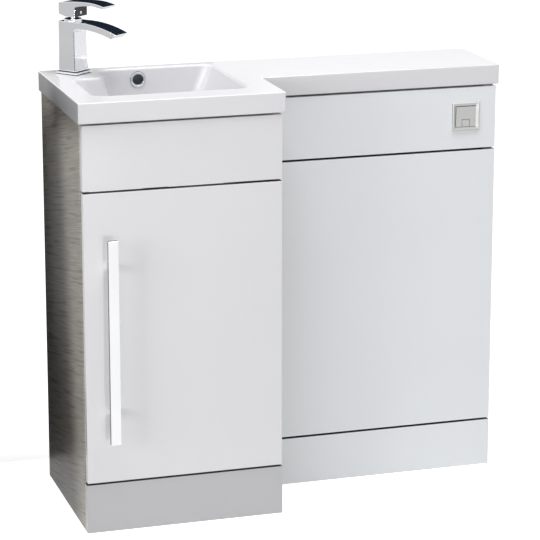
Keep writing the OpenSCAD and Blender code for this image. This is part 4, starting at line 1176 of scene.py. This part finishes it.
@dataclass
class LeverTap:
    """The square column tap: base, body with an arched spout, collar, lever and outlet.

    Distances are along the spout from the column's axis, and heights are from the deck. arc is the
    spout's upper radius about arc_start, and blade holds the lever's radii behind and before peak,
    where its top is highest. The outlines are (radius, height) pairs for the lathe.
    """

    column_back: float = -21.0
    column_front: float = 17.0
    half: float = 20.25
    foot_half: float = 21.75
    foot_front: float = 2.0
    flare: float = 58.0
    height: float = 105.5
    base_height: float = 9.0
    base: float = 50.5
    reach: float = 119.0
    arc_start: float = 30.0
    arc: float = 238.0
    root: float = 9.0
    thick: float = 12.5
    tip_cut: float = 12.0
    outlet_back: float = 26.0
    block: float = 40.0
    block_low: float = 9.5
    peak: float = 48.0
    peak_up: float = 41.5
    blade: Flat = (510.0, 150.0)
    lever_reach: float = 90.0
    # The height of the painted dark reflection on the lever block's front face.
    reflection_height: float = 21.0
    cap_height: float = 122.5
    pin_height: float = 125.5
    room_half: float = 13.0
    room_across: float = 9.0
    room_top: float = 131.5
    jets_up: float = -18.3
    arris: float = 1.0

    # The radius, the low end and the high end of each bore, along its own axis.
    FOOT_BORE = (14, -2, 12)
    OUTLET_SEAT = (11.05, -45, -13.8)
    CARTRIDGE_SEAT = (16.1, 67.5, 107)
    PIN_BORE = (1.56, -13, 13)
    CAP_SEAT = (3.05, -3, 2)
    NOZZLE = ((10.9, -14.3), (10.9, -22.4), (10.3, -23), (8.6, -23), (8, -22.4), (8, -18.4),
              (7.8, -18.1), (0, -18.1), (0, -14.3))
    COLLAR = ((8, 104), (15.8, 104), (15.8, 105.6), (17, 105.6), (17.5, 106.1), (17.5, 109),
              (17, 109.5), (8, 109.5))
    CAP = ((0, -2.8), (2.95, -2.8), (2.95, 0.1), (2.4, 0.35), (0, 0.4))
    # Each layer of the foot: its name, how far it draws in, and its two heights.
    FOOT = (("tap_base_plate", 0.0, 1.3, 5.0), ("seam_low", 1.2, 0.0, 2.0),
            ("seam_high", 7.0, 4.0, 7.0), ("foot_top", 4.0, 6.3, 9.0))

    def flared(self, side: float, out: float) -> list[Flat]:
        """One edge of the column from the flare's top down to the base plate.

        Args:
            side: where the edge runs above the flare.
            out: how far it spreads at the base.

        Returns:
            Its points.
        """
        return [(side + out * (i / 8) ** 2, self.base_height + self.flare * (1 - i / 8))
                for i in range(9)]

    def across(self, kit: Kit, place: Matrix) -> bpy.types.Object:
        """The column's front outline as a solid along the spout, to cut the body with.

        Args:
            kit: the mesh kit.
            place: the tap's axes.

        Returns:
            The solid.
        """
        edge = [(self.half, self.height + 1), *self.flared(self.half, self.foot_half - self.half),
                (self.foot_half, self.base_height - 1)]
        outline = edge + [(-n, z) for n, z in reversed(edge)]
        across = place @ Matrix.Rotation(math.radians(90), 4, "Z")
        return kit.prism("column_outline", outline, self.reach + 10, across)

    def spout_outline(self) -> list[Flat]:
        """The side outline of the column and spout.

        Returns:
            Its points.
        """
        centre = (self.arc_start, self.height - self.arc)
        root, under = self.root, self.height - self.thick
        line = [(self.column_back, self.height), (self.arc_start, self.height)]
        line += arch(centre, self.arc, self.arc_start + 6, self.reach, 18)
        line += arch(centre, self.arc - self.thick, self.reach - self.tip_cut,
                     self.column_front + root + 4, 16)
        for degrees in range(90, 181, 10):
            c, s = math.cos(math.radians(degrees)), math.sin(math.radians(degrees))
            line.append((self.column_front + root + root * c, under - root + root * s - 0.2))
        line += self.flared(self.column_front, self.foot_front)
        return line + [(self.column_back, self.base_height)]

    def lever_outline(self) -> list[Flat]:
        """The side outline of the lever's block and blade.

        Returns:
            Its points.
        """
        back, front, end = -self.block / 2, self.block / 2, self.lever_reach
        low, top = self.height + self.block_low, self.height + self.peak_up
        behind, before = self.blade
        line = arch((self.peak, top - behind), behind, back, self.peak, 10)
        line += arch((self.peak, top - before), before, self.peak, end, 12)[1:]
        tip = line[-1]
        return line + [(tip[0] - 1.5, tip[1] - 4), ((front + end) / 2 + 6, top - 6),
                       (front + 14, top - 9), (front, low + 20), (front, low),
                       (back + 16, low), (back, low + 4.5)]

    def is_front_arris(self, at: Vector) -> bool:
        """Whether a point lies on an upright front edge of the column, where a dark reflection is
        painted.

        Args:
            at: the point, in the tap's own axes.

        Returns:
            True on the edge.
        """
        wide = self.arris + 0.1
        return (self.column_front - wide < at.x < self.column_front + self.foot_front + 1
                and abs(at.y) > self.half - wide and at.z < self.height - self.thick - 8)

    def is_painted_reflection(self, at: Vector) -> bool:
        """Whether a point lies on the front face of the lever's block, where a dark reflection is
        painted.

        Args:
            at: the point, in the tap's own axes.

        Returns:
            True on the face.
        """
        low = self.height + self.block_low
        return abs(at.x - self.block / 2) < 0.2 and low < at.z < low + self.reflection_height

    def foot(self, kit: Kit, place: Matrix) -> None:
        """Builds the stepped foot, with painted shade in its two seams.

        Args:
            kit: the mesh kit.
            place: the tap's axes.
        """
        layers = []
        for name, shrink, low, high in self.FOOT:
            h = self.base / 2 - shrink
            layer = kit.prism(name, [(-h, low), (h, low), (h, high), (-h, high)], h, place)
            layers.append(layer if "seam" in name else kit.bevel(layer, 0.7, 3))
        base = kit.cut(layers[0], layers[1:], "UNION")
        kit.cut(base, [kit.drum("foot_bore", *self.FOOT_BORE, 48, place)])
        kit.place(kit.finish(base), Body.UNIT, Paint.CHROME, "chrome", "tap_base")
        deck = TAP_FOOT[2]
        # Painted shade on the bottom seam and the middle seam of the foot.
        kit.second(base, Paint.PAINTED_SHADE, lambda at: (
            at.z < deck + 1.3 or deck + 5 < at.z < deck + 6.3))

    def build(self, kit: Kit, jets: Tree) -> None:
        """Builds the tap's pieces.

        Args:
            kit: the mesh kit.
            jets: the tree that draws the outlet's jets.
        """
        place = tap_axes()
        back = place.inverted()
        self.foot(kit, place)
        body = kit.prism("tap_column_and_spout", self.spout_outline(), self.foot_half + 0.5, place)
        kit.bevel(kit.cut(body, [self.across(kit, place)], "INTERSECT"), self.arris, 4)
        outlet = place @ Matrix.Translation((self.reach - self.outlet_back, 0, self.height))
        kit.cut(body, [
            kit.drum("outlet_seat", *self.OUTLET_SEAT, 48, outlet),
            kit.drum("cartridge_seat", *self.CARTRIDGE_SEAT, 48, place),
        ])
        kit.place(kit.finish(body), Body.UNIT, Paint.CHROME, "chrome", "tap_body")
        # Painted dark reflection on the column's upright front edges.
        kit.second(body, Paint.DARK_REFLECTION_EDGE, lambda at: self.is_front_arris(back @ at))
        nozzle = kit.lathe("tap_outlet_ring", self.NOZZLE, 56, outlet, closed=False)
        kit.place(kit.finish(nozzle), Body.UNIT, Paint.NICKEL, "chrome", "tap_aerator")
        mouth = outlet @ Matrix.Translation((0, 0, self.jets_up))
        grid = jets.run(kit, "tap_outlet_jets", Paint.DARK, mouth, radius=6.6, hole=0.55, count=20)
        kit.place(grid, Body.UNIT, None, "dark_plastic")
        collar = kit.lathe("tap_collar_ring", self.COLLAR, 72, place)
        kit.place(kit.finish(collar), Body.UNIT, Paint.CHROME, "chrome", "tap_collar")
        lever = kit.bevel(kit.prism("tap_lever_blade", self.lever_outline(), self.half, place),
                          self.arris, 4)
        n, low, high = self.room_half, self.height + self.block_low - 1, self.room_top
        cap_axes = turned((self.block / 2, 0, self.cap_height), 90, "Y", place)
        kit.cut(lever, [
            kit.prism("lever_room", [(-n, low), (n, low), (n, high), (-n, high)],
                      self.room_across, place),
            kit.drum("lever_pin_bore", *self.PIN_BORE, 24,
                     turned((0, 0, self.pin_height), 90, "X", place)),
            kit.drum("cap_seat", *self.CAP_SEAT, 32, cap_axes),
        ])
        kit.place(kit.finish(lever), Body.LEVER, Paint.CHROME, "chrome", "tap_lever")
        # Painted dark reflection on the lower front face of the lever's block.
        kit.second(lever, Paint.LEVER_DARK_REFLECTION, lambda at: self.is_painted_reflection(back @ at))
        cap = kit.lathe("tap_grub_cap", self.CAP, 32, cap_axes, closed=False)
        kit.place(kit.finish(cap), Body.LEVER, Paint.HANDLE, "chrome", "tap_lever_cap")


@dataclass
class BasinDoor:
    """The deep cabinet's door with its bar handle.

    The cup pockets and screw ways are on the door's back. cup_x is 1.5 to the right of the CAD's
    cups. A screw way is a (radius, height) outline for the lathe.
    """

    x0: float = -446.0
    x1: float = -54.0
    face: float = -157.5
    back: float = -139.5
    low: float = 102.0
    high: float = PANEL_TOP
    handle_x: float = -398.0
    bar_half: float = 10.0
    bar_depth: Flat = (-197.5, -187.5)
    bar_height: Flat = (189.0, 591.0)
    bar_arris: float = 1.1
    legs: Flat = (246.0, 534.0)
    leg_half: float = 6.0
    leg_start: float = -188.2
    leg_arris: float = 0.5
    hinges: Flat = (202.0, 576.0)
    cup_x: float = -75.0
    cup: float = 17.55
    cup_depth: float = 12.7
    arris: float = 0.9

    SCREW_WAY = ((0, -19), (2.05, -19), (2.05, -2), (4.05, -2), (4.05, 1), (0, 1))

    def build(self, kit: Kit, boards: Tree) -> None:
        """Builds the door and its handle.

        Args:
            kit: the mesh kit.
            boards: the tree that draws a rounded board.
        """
        door = kit.board(boards, "door_leaf", (self.x0, self.face, self.low),
                         (self.x1, self.back, self.high), self.arris, Paint.BASIN_FRONT)
        cups = [kit.drum("cup_room", self.cup, -self.cup_depth, 1, 64,
                         turned((self.cup_x, self.back, z), -90, "X")) for z in self.hinges]
        screws = [kit.lathe("screw_way", self.SCREW_WAY, 24,
                            turned((self.handle_x, self.back, z), -90, "X"), closed=False)
                  for z in self.legs]
        kit.finish(kit.cut(door, cups + screws))
        kit.place(door, Body.DOOR, Paint.BASIN_FRONT, "basin_front", "door_panel")
        # Painted shade on the door's top edge, in the gap under the fascia.
        kit.second(door, Paint.PAINTED_GAP_SHADE, lambda at: at.z > self.high - 0.1)
        left, right = self.handle_x - self.bar_half, self.handle_x + self.bar_half
        (front, behind), (bottom, top) = self.bar_depth, self.bar_height
        bar = kit.board(boards, "door_bar_handle", (left, front, bottom), (right, behind, top),
                        self.bar_arris, Paint.HANDLE)
        n = self.leg_half
        legs = [kit.board(boards, "handle_leg", (self.handle_x - n, self.leg_start, z - n),
                          (self.handle_x + n, self.face, z + n), self.leg_arris, Paint.HANDLE)
                for z in self.legs]
        kit.finish(kit.cut(bar, legs, "UNION"))
        kit.place(bar, Body.DOOR, Paint.HANDLE, "chrome", "door_handle")
        # Painted dark reflection on the bar's left face and top face.
        kit.second(bar, Paint.DARK_REFLECTION_EDGE, lambda at: (
            at.y < behind + 0.5 and (at.x < left + 0.1 or at.z > top - 0.1)))


@dataclass
class FlushPlate:
    """The square dual-flush plate: a bevelled frame and two buttons.

    stems holds each stem's height from the plate's middle and its radius, the full button first.
    """

    x: float = 382.5
    z: float = 746.5
    face: float = -0.5
    size: float = 58.0
    proud: float = 4.0
    opening: float = 43.2
    sleeve: float = 45.2
    sleeve_depth: float = 28.0
    button: float = 41.2
    half_width: float = 15.0
    half_height: float = 14.5
    gap: float = 0.8
    stems: tuple[Flat, Flat] = ((7.0, 4.0), (-13.75, 3.0))
    stem_start: float = 2.4
    stem_length: float = 28.9

    # The outer edge's profile: how far in from the side, and how far back from the front.
    BEVEL = ((0.0, 1.6), (0.5, 0.9), (1.4, 0.25), (2.0, 0.0), (2.4, 0.1))

    def frame_ring(self, kit: Kit) -> bpy.types.Object:
        """The frame: square rings from the wall edge over a chamfered face into the opening.

        Args:
            kit: the mesh kit.

        Returns:
            The frame.
        """
        outer, inner, sleeve = self.size / 2, self.opening / 2, self.sleeve / 2
        front, deep = self.proud, -self.sleeve_depth
        rows = [(outer, 0.0), *((outer - side, front - back) for side, back in self.BEVEL),
                (inner + 0.6, front - 2.1), (inner, front - 2.3), (inner, deep), (sleeve, deep),
                (sleeve, 0.0)]
        corners = ((-1, -1), (1, -1), (1, 1), (-1, 1))
        points, faces = [], []
        for half, out in rows:
            points += [(self.x + sx * half, self.face - out, self.z + sz * half)
                       for sx, sz in corners]
        for k in range(len(rows)):
            m = (k + 1) % len(rows)
            for i in range(4):
                j = (i + 1) % 4
                faces.append([k * 4 + i, k * 4 + j, m * 4 + j, m * 4 + i])
        return kit.outward(kit.mesh("flush_plate_frame", points, faces))

    def buttons(self, kit: Kit) -> list[bpy.types.Object]:
        """The two buttons, each with its stem.

        Args:
            kit: the mesh kit.

        Returns:
            The full button with its notch, and the half button that sits in the notch.
        """
        h, w, up, gap = self.button / 2, self.half_width / 2, self.half_height, self.gap
        full = [(-h, -h), (-w - gap, -h), (-w - gap, -h + up + gap), (w + gap, -h + up + gap),
                (w + gap, -h), (h, -h), (h, h), (-h, h)]
        half = [(-w, -h), (w, -h), (w, -h + up), (-w, -h + up)]
        made = []
        place = Matrix.Translation((self.x, self.face - self.proud + 2.0, self.z))
        for name, outline, (height, radius) in zip(("flush_full_face", "flush_half_face"),
                                                   (full, half), self.stems):
            plate = kit.bevel(kit.prism(name, outline, 1.5, place), 0.45, 3)
            way = turned((self.x, self.face - self.stem_start, self.z + height), -90, "X")
            stem = kit.drum("stem", radius, 0, self.stem_length, 32, way)
            made.append(kit.finish(kit.cut(plate, [stem], "UNION")))
        return made

    def build(self, kit: Kit) -> None:
        """Builds the plate and its buttons.

        Args:
            kit: the mesh kit.
        """
        plate = kit.finish(self.frame_ring(kit), 12)
        kit.place(plate, Body.UNIT, Paint.SATIN, "satin_chrome", "flush_frame")
        # Painted shade on the walls inside the frame's opening.
        near = self.opening / 2 + 0.1
        kit.second(plate, Paint.PAINTED_SHADE, lambda at: (
            at.y > 0 and max(abs(at.x - self.x), abs(at.z - self.z)) < near))
        full, half = self.buttons(kit)
        kit.place(full, Body.FULL, Paint.SATIN, "satin_chrome", "flush_button_full")
        kit.place(half, Body.HALF, Paint.SATIN, "satin_chrome", "flush_button_half")


@dataclass
class WasteFittings:
    """The overflow's ring and the pop-up plug, as (radius, height) outlines.

    bright holds the radii between which the ring's face is chrome. Inside and outside, it takes
    painted shade.
    """

    bright: Flat = (11.4, 14.9)

    RING = ((16, 0), (16, 1.2), (15.4, 2.1), (14.4, 2.5), (12.2, 2.5), (11.4, 2.1), (10.5, 1.0),
            (10.5, -5.5), (12.9, -5.5), (12.9, 0))
    PLUG = ((0, -48.7), (4, -48.7), (4, 3.5), (27.4, 3.5), (28, 4.0), (28, 5.4), (27.2, 6.1),
            (20, 7.2), (10, 8.0), (0, 8.2))

    def build(self, kit: Kit) -> None:
        """Builds the fittings that show in the bowl.

        Args:
            kit: the mesh kit.
        """
        ring = kit.lathe("overflow_rim", self.RING, 72, turned(OVERFLOW, 90, "X"))
        kit.place(kit.finish(ring), Body.UNIT, Paint.CHROME, "chrome", "overflow_ring")
        x, _, z = OVERFLOW
        low, high = self.bright
        # Painted shade on the ring's face inside and outside the chrome band.
        kit.second(ring, Paint.PAINTED_SHADE, lambda at: not low < math.hypot(at.x - x, at.z - z) < high)
        plug = kit.lathe("popup_plug", self.PLUG, 72, Matrix.Translation(WASTE), closed=False)
        kit.place(kit.finish(plug), Body.PLUG, Paint.CHROME, "chrome", "waste_plug")


@dataclass
class CadParts:
    """The pieces that show as the CAD made them: boards, rails, trap, hinges and cistern.

    boards and small are the rounding of a board's edges and of everything else's. A node takes
    the finish of the first entry in PREFIXES that its name starts with.
    """

    boards: float = 0.5
    small: float = 0.25
    sharp: float = 50.0

    PREFIXES = (
        ("basin_side", Paint.BASIN_SIDE), ("wc_side", Paint.WC_SIDE),
        ("basin_fascia", Paint.BASIN_FRONT), ("basin_plinth", Paint.SHADED_PLINTH),
        ("basin_front_rail", Paint.PAINTED_GAP_SHADE), ("basin_", Paint.INSIDE),
        # The basin's front rail takes painted gap shade.
        ("plinth_blocks", Paint.BATTEN), ("shelf_pins", Paint.ZINC),
        ("cabinet_screws", Paint.ZINC), ("handle_screws", Paint.ZINC),
        ("cistern_screws", Paint.ZINC), ("door_buffers", Paint.BUFFER), ("hinge_", Paint.NICKEL),
        ("wc_upper", Paint.WC_FRONT), ("wc_lower", Paint.WC_FRONT), ("wc_plinth", Paint.WC_FRONT),
        # The WC's front rails take painted gap shade.
        ("wc_front_rails", Paint.PAINTED_GAP_SHADE), ("wc_", Paint.INSIDE), ("waste_body", Paint.CHROME),
        ("waste_seal", Paint.RUBBER), ("waste_nut", Paint.BRASS), ("trap_", Paint.WHITE),
        ("tap_cartridge", Paint.DARK), ("tap_spindle", Paint.NICKEL), ("tap_fixing", Paint.BRASS),
        ("cistern_", Paint.TANK), ("flush_valve", Paint.PALE), ("flush_core", Paint.BLUE),
        ("fill_valve", Paint.WHITE), ("fill_float", Paint.BLUE), ("flush_pipe", Paint.WHITE),
        ("flush_clamp", Paint.DARK), ("flush_bellows", Paint.DARK),
    )

    def paint_of(self, name: str) -> Paint:
        """The finish of a CAD node.

        Args:
            name: the node's name.

        Returns:
            The finish.
        """
        found = (paint for start, paint in self.PREFIXES if name.startswith(start))
        return next(found, Paint.INSIDE)

    def build(self, kit: Kit, nodes: dict[str, bpy.types.Object], slots: dict[str, str]) -> None:
        """Dresses every CAD node that no piece stands for.

        Args:
            kit: the mesh kit, which knows the nodes that pieces stand for.
            nodes: the CAD objects by name.
            slots: the record's material slot of each node; not used.
        """
        for name, node in sorted(nodes.items()):
            if name in kit.gone:
                continue
            paint = self.paint_of(name)
            node.data.materials.clear()
            node.data.materials.append(kit.painter.material(paint))
            large = name.startswith(("basin_", "wc_")) and "rails" not in name
            modifier = node.modifiers.new("Arris", "BEVEL")
            modifier.width = (self.boards if large else self.small) * MM
            modifier.segments = 2
            modifier.limit_method = "ANGLE"
            modifier.angle_limit = math.radians(self.sharp)
            LOG.info("CAD node %s in %s", name, paint.value.name)


@dataclass
class Studio:
    """Floor, soft lamps, surroundings and the camera that matches the photograph.

    Places, aims and sizes are in metres and powers in watts. fill is the strength of the grey
    light from all sides, and lift that of the floor's own glow, which rises to full with the
    distance from the object. A flag is a dark card: its name, colour, the plane that it stands
    in, and its outline in that plane.
    """

    place: Point = (-1.43878646, -4.58576865, 1.73855978)
    yaw: float = 0.297524834
    pitch: float = 0.239264660
    lens: float = 165.2466
    shift: tuple[float, float] = (0.00185, -0.1)
    fill: float = 0.15
    lift: float = 0.9
    floor_half: float = 9000.0
    glow_start: float = 1.1
    glow_rise: float = 0.8

    # Each lamp's name, place, aim, size and power.
    LAMPS = (
        ("front", (-0.2, -4.8, 0.3), (0.0, 0.0, 0.45), (0.45, 0.45), 41.0),
        ("left", (-2.6, -2.9, 1.4), (0.0, 0.0, 0.45), (3.6, 1.8), 28.0),
        ("side", (-3.9, -1.7, 1.2), (-0.45, 0.0, 0.45), (1.6, 1.6), 56.0),
        ("top", (-0.1, -0.7, 4.0), (0.0, 0.0, 0.8), (2.6, 1.8), 127.0),
    )
    FLAGS = (
        ("side_flag", (0.004, 0.004, 0.005), ("X", -0.6), (
            (-0.16, 0.0), (0.42, 0.0), (0.42, 0.78), (0.04, 0.78), (0.0, 0.865),
            (-0.34, 0.865), (-0.34, 0.84), (-0.05, 0.8))),
        ("back_flag", (0.004, 0.004, 0.005), ("Y", 0.3), (
            (-0.4, 0.0), (-0.565, 0.0), (-0.515, 0.4), (-0.505, 0.7), (-0.58, 0.71),
            (-0.58, 0.84), (-0.4, 0.84))),
        ("deck_flag", (0.3, 0.3, 0.3), ("Y", 0.3), (
            (-0.47, 0.855), (-0.06, 0.855), (-0.06, 0.8734), (-0.38, 0.8734),
            (-0.316, 0.9287), (-0.366, 0.9287), (-0.43, 0.871))),
        ("sky_flag", (0.012, 0.018, 0.03), ("Y", 0.6), (
            (-0.36, 1.0), (-0.23, 1.0), (-0.23, 1.045), (0.12, 1.045), (0.12, 1.45),
            (-0.36, 1.45))),
    )

    def floor(self, kit: Kit) -> None:
        """A pale floor that shows as white and keeps the object's shadow.

        Args:
            kit: the mesh kit.
        """
        n = self.floor_half
        floor = kit.mesh("floor", [(-n, -n, 0), (n, -n, 0), (n, n, 0), (-n, n, 0)],
                         [(0, 1, 2, 3)])
        material = bpy.data.materials.new("pale_floor")
        material.use_nodes = True
        graph = Graph(material.node_tree)
        path = graph.node("ShaderNodeLightPath", out="Is Camera Ray")
        gloss = path.beside("Is Glossy Ray")
        diffuse = graph.node("ShaderNodeBsdfDiffuse", {"Color": (0.6, 0.6, 0.6)})
        place = graph.node("ShaderNodeTexCoord", out="Object")
        away = graph.node("ShaderNodeVectorMath", {0: place}, out="Value", operation="LENGTH")
        rise = ((away - self.glow_start) * self.glow_rise).clamp()
        level = rise * (1.0 - self.lift) + self.lift
        seen = (path + gloss * 0.5).clamp()
        glow = graph.node("ShaderNodeEmission", {"Color": (1, 1, 1), "Strength": seen * level})
        both = graph.node("ShaderNodeAddShader", {0: diffuse, 1: glow})
        graph.node("ShaderNodeOutputMaterial", {"Surface": both})
        floor.data.materials.append(material)

    def world(self) -> None:
        """White for what the camera and metal see, and a plain grey fill for everything else."""
        world = bpy.data.worlds.new("studio")
        bpy.context.scene.world = world
        world.use_nodes = True
        graph = Graph(world.node_tree)
        path = graph.node("ShaderNodeLightPath", out="Is Camera Ray")
        gloss, through = path.beside("Is Glossy Ray"), path.beside("Is Transmission Ray")
        seen = (path + gloss + through).clamp()
        level = seen * (1.0 - self.fill) + self.fill
        sky = graph.node("ShaderNodeBackground", {"Color": (1, 1, 1), "Strength": level})
        graph.node("ShaderNodeOutputWorld", {"Surface": sky})

    def lamp(self, name: str, place: Point, aim: Point, size: Flat, power: float) -> None:
        """Adds a soft area lamp.

        Args:
            name: the lamp's name.
            place: where it hangs, in metres.
            aim: the point that it faces, in metres.
            size: its width and height in metres.
            power: its power in watts.
        """
        data = bpy.data.lights.new(name, "AREA")
        data.shape = "RECTANGLE"
        data.size, data.size_y = size
        data.energy = power
        made = bpy.data.objects.new(name, data)
        made.location = place
        made.rotation_euler = (Vector(aim) - Vector(place)).to_track_quat("-Z", "Y").to_euler()
        bpy.context.scene.collection.objects.link(made)

    def card(self, kit: Kit, name: str, colour: Colour, points: Sequence[Point]) -> None:
        """Adds a dark card that shades the object and shows in metal, but not to the camera.

        Args:
            kit: the mesh kit.
            name: the card's name.
            colour: its colour.
            points: its corners in metres.
        """
        card = kit.mesh(name, [Vector(p) * 1000 for p in points],
                        [list(range(len(points)))])
        material = bpy.data.materials.new(name)
        material.use_nodes = True
        graph = Graph(material.node_tree)
        surface = graph.node("ShaderNodeBsdfDiffuse", {"Color": colour})
        graph.node("ShaderNodeOutputMaterial", {"Surface": surface})
        card.data.materials.append(material)
        card.visible_camera = False

    def camera(self) -> None:
        """The camera fitted to the photograph."""
        data = bpy.data.cameras.new("view")
        data.sensor_width = 36.0
        data.lens = self.lens
        data.shift_x, data.shift_y = self.shift
        data.clip_start, data.clip_end = 0.1, 60.0
        made = bpy.data.objects.new("view", data)
        made.location = self.place
        level = math.cos(self.pitch)
        way = Vector((math.sin(self.yaw) * level, math.cos(self.yaw) * level,
                      -math.sin(self.pitch)))
        made.rotation_euler = way.to_track_quat("-Z", "Y").to_euler()
        bpy.context.scene.collection.objects.link(made)
        bpy.context.scene.camera = made

    def build(self, kit: Kit) -> None:
        """Sets the whole studio.

        Args:
            kit: the mesh kit.
        """
        self.floor(kit)
        self.world()
        self.camera()
        for lamp in self.LAMPS:
            self.lamp(*lamp)
        for name, colour, (axis, at), outline in self.FLAGS:
            points = [(at, a, b) if axis == "X" else (a, at, b) for a, b in outline]
            self.card(kit, name, colour, points)
        bpy.context.scene.view_settings.view_transform = "Standard"


def main() -> None:
    """Builds every sub-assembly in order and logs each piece."""
    logging.basicConfig(level=logging.INFO, format="%(name)s: %(message)s")
    kit = Kit(Painter())
    boards, jets = board_tree(), jet_tree()
    MouldedTop().build(kit)
    LeverTap().build(kit, jets)
    BasinDoor().build(kit, boards)
    FlushPlate().build(kit)
    WasteFittings().build(kit)
    slots = {entry["node"]: entry["material_slot"] for entry in frame["record"]["subparts"]}
    CadParts().build(kit, frame["nodes"], slots)
    Studio().build(kit)
    LOG.info("%d pieces placed", kit.count)


if __name__ == "__main__":
    main()
